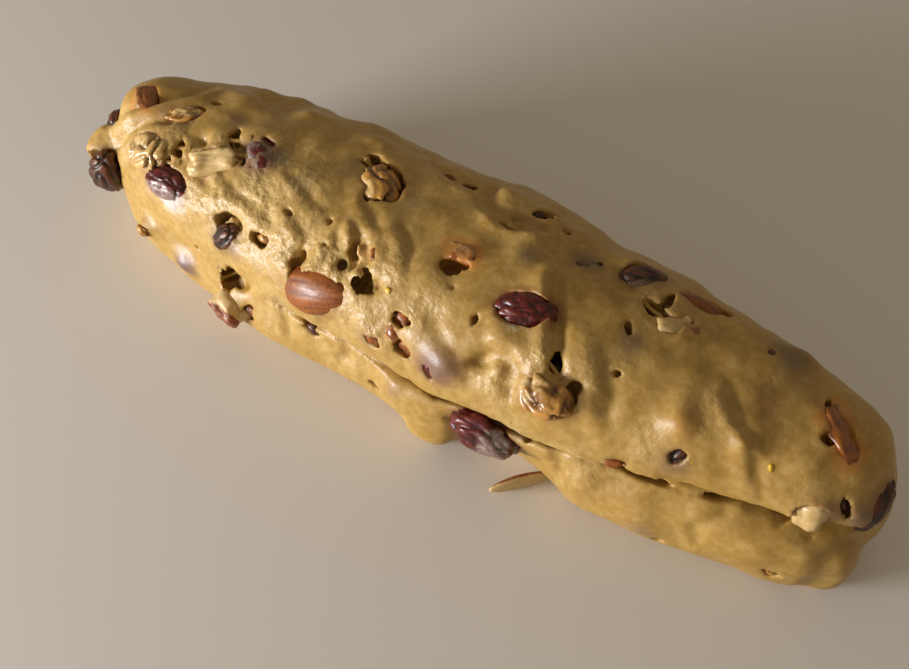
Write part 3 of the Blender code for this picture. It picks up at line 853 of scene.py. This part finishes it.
def cut_openings(obj, cutters):
    """Cuts the skin with all the cutters, in groups whose members stand clear of each other."""
    groups = []
    for bm in cutters:
        bmesh.ops.recalc_face_normals(bm, faces=bm.faces)
        if bm.calc_volume(signed=True) < 0:
            bmesh.ops.reverse_faces(bm, faces=bm.faces)
        places = np.array([vertex.co for vertex in bm.verts])
        box = (places.min(0), places.max(0))
        for boxes, members in groups:
            if all(apart(box, other) for other in boxes):
                boxes.append(box)
                members.append(bm)
                break
        else:
            groups.append(([box], [bm]))
    for _, members in groups:
        joined = bmesh.new()
        for bm in members:
            mesh = bpy.data.meshes.new("part")
            bm.to_mesh(mesh)
            bm.free()
            joined.from_mesh(mesh)
            bpy.data.meshes.remove(mesh)
        cutter = new_piece("cutter", joined)
        modifier = obj.modifiers.new("open", "BOOLEAN")
        modifier.operation = "DIFFERENCE"
        modifier.solver = "MANIFOLD"
        modifier.object = cutter
        applied(obj)
        bpy.data.objects.remove(cutter)


def colour_skin(mesh, whole_tree, fruit_trees):
    """What the material reads: the tint of fruit under the skin, flour, depth in a hole for the painted shade
    there, and roughness, which also paints the pebbled skin paler, partly as a painted sheen.
    """
    points = points_of(mesh)
    tint = np.zeros((len(points), 3))
    cover = np.zeros(len(points))
    base = {"raisin": RAISIN_BROWN, "cranberry": BERRY_RED, "peel": PEEL_ORANGE, "walnut": NUT_BROWN}
    places = [Vector(p) for p in points * MM]
    for kind, colour in base.items():
        tree = fruit_trees[kind]
        reach = 6.0
        distance = np.array([tree.find_nearest(p, reach * MM)[3] or reach * MM for p in places]) / MM
        alpha = (0.4 if kind == "walnut" else 0.62) * bell(distance, 1.5)
        tint += np.array(linear(colour)[:3]) * alpha[:, None]
        cover += alpha
    # One share of their reach for all the stains, taken from the noise at the first vertex.
    share = 0.62 * (1 + 0.25 * soft_noise(points[:1], 5, 9)[0])
    for stain in STAINS:
        place, _ = skin_place(whole_tree, stain.x, stain.girth)
        offset = points - np.array(place)
        alpha = stain.strength * bell(np.linalg.norm(offset, axis=1), stain.reach * share)
        tint += np.array(linear(stain.colour)[:3]) * alpha[:, None]
        cover += alpha
    colour = tint / np.maximum(cover, 1e-6)[:, None]
    store(mesh, "tint", np.concatenate((colour, np.ones((len(points), 1))), 1))
    store(mesh, "cover", 1 - np.exp(-cover))
    flour = np.zeros(len(points))
    for x, girth, reach, strength in FLOUR:
        place, _ = skin_place(whole_tree, x, girth)
        flour += strength * bell(np.linalg.norm(points - np.array(place), axis=1), reach * 0.7)
    store(mesh, "flour", flour)
    # How deep each point lies under the skin before the openings: the material paints shade inside the holes
    # by it.
    depth = np.array([whole_tree.find_nearest(p)[3] for p in places]) / MM
    store(mesh, "depth", step(0.25, 3.0, depth))
    # Where the skin is pebbled: for its bumps, and for its paler colour, partly a painted sheen.
    store(mesh, "rough", pebbled(points, whole_tree))


def smooth_facets(mesh):
    """Smooths the coarse facets away, and keeps the seam and the sharp turns of the outline."""
    points = points_of(mesh)
    weight = 1 - 0.88 * narrowness(mesh, 11)
    for x, y, z, reach in KEPT_CRISP:
        weight *= 1 - 0.85 * bell(np.linalg.norm(points - (x, y, z), axis=1), reach)
    weight[points[:, 2] < 0.5] = 0
    relax(mesh, weight, SKIN_ROUNDS)


def keep_largest(mesh):
    """Deletes the tiny shells that cutting leaves loose, and keeps the loaf."""
    bm = bmesh.new()
    bm.from_mesh(mesh)
    shells = []
    seen = set()
    for start in bm.verts:
        if start in seen:
            continue
        seen.add(start)
        shell = [start]
        for vertex in shell:
            for edge in vertex.link_edges:
                other = edge.other_vert(vertex)
                if other not in seen:
                    seen.add(other)
                    shell.append(other)
        shells.append(shell)
    shells.sort(key=len)
    loose = [vertex for shell in shells[:-1] for vertex in shell]
    bmesh.ops.delete(bm, geom=loose, context="VERTS")
    bm.to_mesh(mesh)
    bm.free()


def make_dough(fruit_trees, finish):
    """The dough piece, and a search tree of its skin before the openings."""
    dough = solid_with_fruit()
    remesh(dough, SKIN_VOXEL)
    smooth_facets(dough.data)
    lift_skin(dough, tree_of(dough.data))
    relax(dough.data, (points_of(dough.data)[:, 2] > 0.5).astype(float), CREASE_ROUNDS)
    whole_tree = tree_of(dough.data)
    cut_openings(dough, opening_cutters(whole_tree))
    remesh(dough, OPEN_VOXEL)
    relax(dough.data, (points_of(dough.data)[:, 2] > 0.5).astype(float), RIM_ROUNDS)
    fine_relief(dough.data, whole_tree)
    triangles = sum(len(face.vertices) - 2 for face in dough.data.polygons)
    modifier = dough.modifiers.new("fewer", "DECIMATE")
    modifier.ratio = min(1.0, SKIN_TRIANGLES / triangles)
    applied(dough)
    mesh = dough.data
    keep_largest(mesh)
    mesh.shade_smooth()
    colour_skin(mesh, whole_tree, fruit_trees)
    mesh.materials.clear()
    mesh.materials.append(finish)
    mesh.validate()
    return dough, whole_tree


def edge_ends(mesh):
    """The vertex at each end of every edge."""
    edges = np.empty(len(mesh.edges) * 2, dtype=np.int64)
    mesh.edges.foreach_get("vertices", edges)
    return edges.reshape(-1, 2).T


def spread_out(mesh, values, rounds):
    """The highest value among a vertex and its neighbours, again and again, then evened."""
    a, b = edge_ends(mesh)
    for _ in range(rounds):
        wider = values.copy()
        np.maximum.at(wider, a, values[b])
        np.maximum.at(wider, b, values[a])
        values = wider
    degree = np.bincount(a, minlength=len(values)) + np.bincount(b, minlength=len(values))
    for _ in range(rounds):
        total = np.bincount(a, values[b], len(values)) + np.bincount(b, values[a], len(values))
        values = (values + total) / (1 + degree)
    return values


def narrowness(mesh, reach):
    """1 at the walls of a gap narrower than reach, and close to its edges; 0 on the open skin."""
    tree = tree_of(mesh)
    points = points_of(mesh)
    normals = normals_of(mesh)
    inside = np.zeros(len(points))
    for index, (point, normal) in enumerate(zip(points, normals)):
        if point[1] > 5 or point[2] < 12 or point[2] > 40:
            continue
        start = Vector(point + normal * 0.3) * MM
        if tree.ray_cast(start, Vector(normal), reach * MM)[0] is not None:
            inside[index] = 1.0
    return spread_out(mesh, inside, 2)


# ---------------------------------------------------------------- fruit and nuts


def squared(p, power):
    """Pushes a unit form towards a box, the more the lower the power."""
    return np.sign(p) * np.abs(p) ** power


def raisin_form(p, seed):
    """A dried grape: deep folds along it, crossed by finer ones."""
    q = p * (0.8, 1.9, 1.9)
    folds = np.abs(soft_noise(q, 1.0, seed + 11))
    fine = np.abs(soft_noise(p * (1.6, 4.6, 4.6), 1.0, seed + 12))
    radius = 0.9 + 0.22 * np.minimum(folds, 0.5) + 0.05 * np.minimum(fine, 0.5)
    # The tone follows the folds: dark in the grooves and light on the ridges, partly its own colour and
    # partly painted shade and painted highlight.
    return p * radius[:, None], folds * 1.2


def cranberry_form(p, seed):
    """A dried cranberry half: broad soft lobes and sharp wrinkles."""
    q = p * (1.6, 2.0, 2.0)
    folds = np.abs(soft_noise(q, 1.0, seed + 21))
    fine = np.abs(soft_noise(p * (2.6, 3.6, 3.6), 1.0, seed + 22))
    radius = 0.88 + 0.2 * np.minimum(folds, 0.6) + 0.08 * np.minimum(fine, 0.5)
    # The tone follows the folds: lighter on the raised folds and dark between them, partly its own colour and
    # partly painted highlight and painted shade.
    return p * radius[:, None], 0.9 * folds + 0.9 * fine


def almond_form(p, seed):
    """A whole almond: pointed at one end, with fine ridges from end to end."""
    taper = 1 - 0.2 * p[:, 0] - 0.1 * np.maximum(p[:, 0], 0) ** 3
    angle = np.arctan2(p[:, 2], p[:, 1])
    around = np.stack((p[:, 0] * 0.9, np.cos(angle) * 6.0, np.sin(angle) * 6.0), 1)
    ridges = soft_noise(around, 1.0, seed + 31)
    fine = soft_noise(around * (1.2, 2.6, 2.6), 1.0, seed + 32)
    radius = 1 + 0.014 * ridges + 0.008 * fine
    form = p * np.stack((np.ones(len(p)), taper, 0.5 + 0.5 * taper), 1) * radius[:, None]
    return form, 0.55 + 0.3 * ridges + 0.25 * fine


def walnut_form(p, seed):
    """A piece of walnut kernel: thick rounded lobes with deep folds between them."""
    warp = 0.35 * np.stack([soft_noise(p, 0.8, seed + 40 + k) for k in range(3)], 1)
    folds = np.abs(soft_noise(p + warp, 0.85, seed + 43))
    radius = 0.74 + 0.5 * np.minimum(folds, 0.6) ** 0.6
    return p * radius[:, None], np.minimum(folds * 1.6, 1)


def chopped_form(p, seed):
    """A chopped nut: flat cut faces with rounded edges."""
    q = squared(p, 0.78)
    q = q * (1 + 0.26 * soft_noise(p, 0.8, seed + 51))[:, None]
    q = q + 0.06 * soft_noise(p, 0.3, seed + 52)[:, None] * p
    return q * 0.95, 0.5 + 0.5 * soft_noise(p, 0.5, seed + 53)


def chunk_form(p, seed):
    """An almond cut across: brown skin on its outer face, pale flesh at the cut edge."""
    form, _ = chopped_form(p, seed)
    skin = step(0.25, 0.45, p[:, 2] + 0.12 * soft_noise(p, 0.7, seed + 54))
    return form, skin


def sliver_form(p, seed):
    """A slice of almond on its side: brown skin along its upper, farther edge."""
    form = p * (1 + 0.03 * soft_noise(p, 0.6, seed + 55))[:, None]
    form[:, 1] += 0.25 * (1 - p[:, 0] ** 2)
    return form, step(0.3, 0.5, p[:, 2] * 0.6 + p[:, 1] * 0.8)


def peel_form(p, seed):
    """A strip of candied peel: soft corners and a pitted face."""
    q = squared(p, 0.75) * (1 + 0.22 * soft_noise(p, 0.8, seed + 61))[:, None]
    q = q * (1 + 0.06 * soft_noise(p, 0.3, seed + 63))[:, None]
    return q * 0.95, 0.5 + 0.5 * soft_noise(p, 0.4, seed + 62, 3)


FORMS = {
    "raisin": raisin_form,
    "cranberry": cranberry_form,
    "almond": almond_form,
    "almond_chunk": chunk_form,
    "almond_sliver": sliver_form,
    "walnut": walnut_form,
    "nut": chopped_form,
    "peel": peel_form,
}


def make_fruit(name, seed, finish):
    """One fruit or nut, in the place and size of its CAD node."""
    fruit = FRUIT[name]
    middle, axes, half = posed_lie(name)
    bm = bmesh.new()
    bmesh.ops.create_icosphere(bm, subdivisions=fruit.detail, radius=1.0)
    piece = new_piece(name + "_piece", bm)
    mesh = piece.data
    unit = points_of(mesh) * MM
    form, tone = FORMS[fruit.kind](unit, seed)
    form = form / np.percentile(np.abs(form), 97, axis=0)
    side = np.array(fruit.film_side, float)
    side /= np.linalg.norm(side)
    edge = unit @ side + 0.3 * soft_noise(unit, 0.6, seed + 71) + 0.12 * soft_noise(unit, 0.2, seed + 72)
    film = step(-0.08, 0.08, edge - (1 - 2 * fruit.film)) if fruit.film else np.zeros(len(unit))
    points = middle + (form * half * (1 + 0.02 * film[:, None])) @ axes
    points[:, 2] = np.maximum(points[:, 2], 0.05)
    move_points(mesh, points)
    store(mesh, "tone", np.clip(tone, 0, 1))
    store(mesh, "film", film)
    mesh.materials.append(finish)
    return piece


def make_bits(kind, tree, finish):
    """The small bits of one kind, set into the skin, as one piece."""
    joined = bmesh.new()
    tones = []
    for seed, bit in enumerate(BITS):
        if bit.kind != kind:
            continue
        place, normal = skin_place(tree, bit.x, bit.girth)
        axes = np.array(skin_axes(normal, bit.heading))
        half = np.array((bit.length, bit.width, bit.thickness)) / 2
        middle = np.array(place) - axes[2] * bit.sunk
        made = bmesh.ops.create_icosphere(joined, subdivisions=3, radius=1.0)["verts"]
        form, tone = FORMS[BIT_FORMS[kind]](np.array([vertex.co for vertex in made]), seed + 300)
        for vertex, place in zip(made, middle + form * half @ axes):
            vertex.co = Vector(place) * MM
        tones.append(tone)
    piece = new_piece("small_bits_" + kind, joined)
    tone = np.clip(np.concatenate(tones), 0, 1)
    store(piece.data, "tone", tone)
    store(piece.data, "film", np.zeros(len(tone)))
    piece.data.materials.append(finish)
    return piece


def make_strands(tree, finish):
    """Strands of dough pulled across the torn holes, thicker where they leave the skin."""
    bm = bmesh.new()
    steps = np.linspace(-1, 1, 15)
    for seed, (x1, girth1, x2, girth2, radius, sag) in enumerate(STRANDS):
        first, out = skin_place(tree, x1, girth1)
        last, _ = skin_place(tree, x2, girth2)
        along = (last - first).normalized()
        side = along.cross(out).normalized()
        over = side.cross(along)
        rings = []
        for t in steps:
            wander = 0.5 * noise.noise(Vector((t * 1.5, seed, 0.5)))
            middle = first.lerp(last, (t + 1) / 2) - over * (sag * (1 - t**4) + 0.8) + side * wander
            thick = radius * (0.8 + 0.9 * abs(t) ** 5)
            ring = []
            for k in range(8):
                angle = k * math.pi / 4
                point = middle + side * (thick * 1.3 * math.cos(angle)) + over * (thick * math.sin(angle))
                ring.append(bm.verts.new(point * MM))
            rings.append(ring)
        for a, b in zip(rings, rings[1:]):
            for k in range(8):
                bm.faces.new((a[k], a[k - 1], b[k - 1], b[k]))
        bm.faces.new(rings[0])
        bm.faces.new(reversed(rings[-1]))
    bmesh.ops.recalc_face_normals(bm, faces=bm.faces)
    piece = new_piece("dough_strands", bm)
    piece.data.materials.append(finish)
    return piece


# ---------------------------------------------------------------- finishes


def output_of(material, shader):
    """Ends the material in the shader."""
    tree = material.node_tree
    tree.links.new(shader.outputs["BSDF"], node(tree, "ShaderNodeOutputMaterial").inputs["Surface"])
    return material


def empty_material(name):
    """A material with no nodes."""
    material = bpy.data.materials.new(name)
    material.use_nodes = True
    material.node_tree.nodes.clear()
    return material


def mixed(tree, factor, a, b):
    """Two colours mixed by a factor; a and b are hex strings or sockets."""
    values = [linear(v) if isinstance(v, str) else v for v in (a, b)]
    return node(
        tree,
        "ShaderNodeMix",
        {0: factor, 6: values[0], 7: values[1]},
        data_type="RGBA",
    ).outputs[2]


def dough_finish():
    """Raw rich yeast dough, kneaded and left moist: a stretched skin with a soft wet sheen.

    Butter and egg make it cream yellow; light goes a few millimetres into it, so its shade is warm.
    """
    material = empty_material("raw_yeast_dough")
    tree = material.node_tree
    place = node(tree, "ShaderNodeTexCoord").outputs["Object"]
    tint = node(tree, "ShaderNodeAttribute", attribute_name="tint").outputs["Color"]
    cover = node(tree, "ShaderNodeAttribute", attribute_name="cover").outputs["Fac"]
    flour = node(tree, "ShaderNodeAttribute", attribute_name="flour").outputs["Fac"]
    depth = node(tree, "ShaderNodeAttribute", attribute_name="depth").outputs["Fac"]
    rough = node(tree, "ShaderNodeAttribute", attribute_name="rough").outputs["Fac"]
    # Blotches about 12 mm across, and mottling about 2 mm across.
    blotch = node(tree, "ShaderNodeTexNoise", {"Vector": place, "Scale": 80.0, "Detail": 3.0}).outputs["Fac"]
    mottle = node(tree, "ShaderNodeTexNoise", {"Vector": place, "Scale": 450.0, "Detail": 4.0}).outputs["Fac"]
    spread = node(
        tree,
        "ShaderNodeMapRange",
        {"Value": blotch, "From Min": 0.35, "From Max": 0.65},
    ).outputs["Result"]
    skin = mixed(tree, spread, "#A37E36", "#AC883F")
    fine = node(
        tree,
        "ShaderNodeMapRange",
        {"Value": mottle, "From Min": 0.4, "From Max": 0.7, "To Max": 0.45},
    ).outputs["Result"]
    skin = mixed(tree, fine, skin, "#C6A968")
    # Torn, pebbled dough is paler: partly its broken face, full of fine air, and partly a painted sheen for
    # the cream look of wet skin in the light.
    torn = node(tree, "ShaderNodeMath", {0: rough, 1: 0.22}, operation="MULTIPLY").outputs[0]
    skin = mixed(tree, torn, skin, "#DAC796")
    # Crumbs of bran and vanilla about 0.4 mm across.
    specks = node(tree, "ShaderNodeTexVoronoi", {"Vector": place, "Scale": 260.0}).outputs["Distance"]
    chosen = node(tree, "ShaderNodeTexNoise", {"Vector": place, "Scale": 160.0}).outputs["Fac"]
    sparse = node(
        tree,
        "ShaderNodeMapRange",
        {"Value": chosen, "From Min": 0.62, "From Max": 0.66},
    ).outputs["Result"]
    dots = node(
        tree,
        "ShaderNodeMapRange",
        {"Value": specks, "From Min": 0.16, "From Max": 0.1, "To Max": 0.6},
    ).outputs["Result"]
    spots = node(tree, "ShaderNodeMath", {0: sparse, 1: dots}, operation="MULTIPLY").outputs[0]
    skin = mixed(tree, spots, skin, "#8A5A2C")
    skin = mixed(tree, cover, skin, tint)
    # Painted shade: the deeper in a hole, the more the dough is darkened towards dark brown.
    hole = node(tree, "ShaderNodeMath", {0: depth, 1: 0.6}, operation="MULTIPLY").outputs[0]
    skin = mixed(tree, hole, skin, "#7C5422")
    # Flour lies in grains, thickest in the middle of each dusting.
    grain = node(tree, "ShaderNodeTexNoise", {"Vector": place, "Scale": 900.0, "Detail": 5.0}).outputs["Fac"]
    dusted = node(tree, "ShaderNodeMath", {0: flour, 1: grain}, operation="ADD").outputs[0]
    dust = node(
        tree,
        "ShaderNodeMapRange",
        {"Value": dusted, "From Min": 0.72, "From Max": 1.3, "To Max": 0.6},
    ).outputs["Result"]
    skin = mixed(tree, dust, skin, "#D8D8D6")
    sheen = node(
        tree,
        "ShaderNodeMapRange",
        {"Value": mottle, "From Min": 0.35, "From Max": 0.7, "To Min": 0.44, "To Max": 0.66},
    ).outputs["Result"]
    dry = node(tree, "ShaderNodeMath", {0: dust, 1: 0.4}, operation="MULTIPLY").outputs[0]
    roughness = node(tree, "ShaderNodeMath", {0: sheen, 1: dry}, operation="ADD").outputs[0]
    # The skin's own texture: pores and stretch marks of 0.5 to 1.5 mm.
    pores = node(tree, "ShaderNodeTexNoise", {"Vector": place, "Scale": 1100.0, "Detail": 6.0}).outputs["Fac"]
    knots = node(tree, "ShaderNodeTexNoise", {"Vector": place, "Scale": 520.0, "Detail": 2.0}).outputs["Fac"]
    knotted = node(tree, "ShaderNodeMath", {0: knots, 1: rough}, operation="MULTIPLY").outputs[0]
    low = node(
        tree, "ShaderNodeBump", {"Strength": 0.22, "Distance": 0.0004, "Height": pores}
    ).outputs["Normal"]
    bump = node(
        tree,
        "ShaderNodeBump",
        {"Strength": 0.6, "Distance": 0.0014, "Height": knotted, "Normal": low},
    ).outputs["Normal"]
    shader = node(
        tree,
        "ShaderNodeBsdfPrincipled",
        {
            "Base Color": skin,
            "Roughness": roughness,
            "Normal": bump,
            "IOR": 1.42,
            "Subsurface Weight": 0.3,
            "Subsurface Radius": (0.0034, 0.0022, 0.0009),
            "Subsurface Scale": 1.0,
            "Coat Weight": 0.3,
            "Coat Roughness": 0.33,
            "Coat Normal": bump,
        },
    )
    return output_of(material, shader)


def fruit_finish(name, low, high, film, roughness, coat, subsurface, radius, grain=900.0):
    """A fruit or nut whose tone runs from low, in its folds, to high, partly under the dough's film; on
    raisins and cranberries this dark in the folds and light on the ridges is partly painted shade and painted
    highlight.
    """
    material = empty_material(name)
    tree = material.node_tree
    place = node(tree, "ShaderNodeTexCoord").outputs["Object"]
    tone = node(tree, "ShaderNodeAttribute", attribute_name="tone").outputs["Fac"]
    covered = node(tree, "ShaderNodeAttribute", attribute_name="film").outputs["Fac"]
    speckles = node(tree, "ShaderNodeTexNoise", {"Vector": place, "Scale": grain, "Detail": 4.0})
    speckle = speckles.outputs["Fac"]
    shift = node(
        tree,
        "ShaderNodeMapRange",
        {"Value": speckle, "From Min": 0.3, "From Max": 0.7, "To Min": -0.25, "To Max": 0.25},
    ).outputs["Result"]
    mixed_tone = node(tree, "ShaderNodeMath", {0: tone, 1: shift}, operation="ADD", use_clamp=True).outputs[0]
    colour = mixed(tree, mixed_tone, low, high)
    # The film is thin: the fruit shows through it in patches.
    thin = node(
        tree,
        "ShaderNodeMapRange",
        {"Value": speckle, "From Min": 0.35, "From Max": 0.65, "To Min": 0.25, "To Max": 0.8},
    ).outputs["Result"]
    share = node(tree, "ShaderNodeMath", {0: covered, 1: thin}, operation="MULTIPLY").outputs[0]
    colour = mixed(tree, share, colour, film)
    bump = node(
        tree, "ShaderNodeBump", {"Strength": 0.3, "Distance": 0.0003, "Height": speckle}
    ).outputs["Normal"]
    shader = node(
        tree,
        "ShaderNodeBsdfPrincipled",
        {
            "Base Color": colour,
            "Roughness": roughness,
            "Normal": bump,
            "IOR": 1.45,
            "Subsurface Weight": subsurface,
            "Subsurface Radius": tuple(v * MM for v in radius),
            "Subsurface Scale": 1.0,
            "Coat Weight": coat,
            "Coat Roughness": 0.15,
        },
    )
    return output_of(material, shader)


def make_finishes():
    """The finish of every kind of fruit, nut and peel."""
    return {
        # Dried grape: nearly black brown, moist from the dough, blue-grey where dough clings to it; its
        # browner ridges over black folds are partly painted highlight and painted shade.
        "raisin": fruit_finish(
            "dried_raisin", "#1A0B06", "#643416", "#7A6450", 0.44, 0.15, 0.1, (1.2, 0.4, 0.2)
        ),
        # Dried sweetened cranberry: dark red, lighter on its folds, sticky and glossy; the lighter red on the
        # raised folds and the dark between them are partly painted highlight and painted shade.
        "cranberry": fruit_finish(
            "dried_cranberry", "#1C0506", "#641A14", "#A3968C", 0.38, 0.2, 0.15, (2.0, 0.4, 0.3)
        ),
        # Almond in its skin: cinnamon brown, dry, ridged.
        "almond": fruit_finish(
            "almond_skin", "#54240A", "#9C5816", "#A8844E", 0.5, 0.15, 0.0, (1.0, 1.0, 1.0)
        ),
        # Cut almond: pale flesh that shows its brown skin at one face.
        "nut_flesh_skin": fruit_finish(
            "cut_almond", "#CDB07A", "#7C3C16", "#B89A62", 0.5, 0.1, 0.1, (2.0, 1.4, 0.8)
        ),
        # Walnut kernel, soaked by the dough: amber, paler on its lobes.
        "walnut": fruit_finish(
            "walnut_kernel", "#5A340E", "#C08C42", "#D2B87E", 0.34, 0.35, 0.15, (2.0, 1.0, 0.4)
        ),
        # Chopped blanched nut: cream.
        "nut": fruit_finish(
            "chopped_nut", "#BC9C60", "#D8BE88", "#BD9E62", 0.42, 0.2, 0.25, (2.5, 1.8, 1.0)
        ),
        # Grated zest: bright yellow, moist.
        "zest": fruit_finish("lemon_zest", "#B88A14", "#DDB22E", "#BD9E62", 0.36, 0.2, 0.2, (2.0, 1.4, 0.3)),
        # Candied orange peel: glassy orange brown.
        "peel": fruit_finish(
            "candied_peel", "#5E2E0E", "#A0601F", "#B08C50", 0.34, 0.35, 0.25, (3.0, 1.2, 0.3)
        ),
    }


FINISH_OF_KIND = {"almond_chunk": "nut_flesh_skin", "almond_sliver": "nut_flesh_skin"}


# ---------------------------------------------------------------- stage


def make_camera():
    """The camera that looks at the loaf."""
    data = bpy.data.cameras.new("view")
    data.lens = LENS_MM
    data.sensor_width = SENSOR_MM
    data.clip_start = 0.01
    camera = bpy.data.objects.new("view", data)
    bpy.context.scene.collection.objects.link(camera)
    azimuth = math.radians(VIEW_AZIMUTH)
    elevation = math.radians(VIEW_ELEVATION)
    back = Vector(
        (
            math.sin(azimuth) * math.cos(elevation),
            -math.cos(azimuth) * math.cos(elevation),
            math.sin(elevation),
        )
    )
    camera.location = Vector(VIEW_AIM) + back * VIEW_DISTANCE
    camera.rotation_euler = back.to_track_quat("Z", "Y").to_euler()
    bpy.context.scene.camera = camera


def make_light(name, direction, distance, size, power, colour):
    """A soft oblong light that shines at the loaf from a direction."""
    data = bpy.data.lights.new(name, "AREA")
    data.shape = "RECTANGLE"
    data.size, data.size_y = size
    data.energy = power
    data.color = linear(colour)[:3]
    light = bpy.data.objects.new(name, data)
    bpy.context.scene.collection.objects.link(light)
    away = Vector(direction).normalized()
    light.location = away * distance
    light.rotation_euler = away.to_track_quat("Z", "Y").to_euler()


def make_stage():
    """A pale worktop, a low soft light from the left of the view, and a dim warm fill."""
    bm = bmesh.new()
    bmesh.ops.create_grid(bm, x_segments=1, y_segments=1, size=3.0)
    floor = new_piece("worktop", bm)
    material = empty_material("pale_worktop")
    tree = material.node_tree
    shader = node(
        tree,
        "ShaderNodeBsdfPrincipled",
        {"Base Color": linear("#E6E3DE"), "Roughness": 0.6},
    )
    floor.data.materials.append(output_of(material, shader))
    make_light("window", (-0.68, -0.73, 0.155), 0.85, (0.34, 0.2), 10.8, "#FDFAFB")
    world = bpy.data.worlds.new("room")
    world.use_nodes = True
    bpy.context.scene.world = world
    background = world.node_tree.nodes["Background"]
    background.inputs["Color"].default_value = linear("#FFECCE")
    background.inputs["Strength"].default_value = 0.285
    bpy.context.scene.view_settings.view_transform = "Standard"


# ---------------------------------------------------------------- all together


def kind_trees(pieces):
    """One search tree for each kind of fruit."""
    trees = {}
    for kinds in (("raisin",), ("cranberry",), ("peel",), ("walnut", "almond", "nut")):
        bm = bmesh.new()
        for name, piece in pieces.items():
            if FRUIT[name].kind in kinds:
                bm.from_mesh(piece.data)
        trees[kinds[0]] = BVHTree.FromBMesh(bm)
        bm.free()
    return trees


def main():
    """Makes every piece, then the camera and the stage."""
    finishes = make_finishes()
    pieces = {}
    for seed, (name, fruit) in enumerate(FRUIT.items()):
        finish = finishes[FINISH_OF_KIND.get(fruit.kind, fruit.kind)]
        piece = make_fruit(name, seed, finish)
        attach(piece, BODY)
        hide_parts(name)
        pieces[name] = piece
    moist = dough_finish()
    dough, skin = make_dough(kind_trees(pieces), moist)
    strands = make_strands(skin, moist)
    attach(strands, BODY)
    for kind in BIT_FORMS:
        piece = make_bits(kind, skin, finishes[kind])
        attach(piece, BODY)
    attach(dough, BODY)
    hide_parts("dough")
    make_camera()
    make_stage()


main()
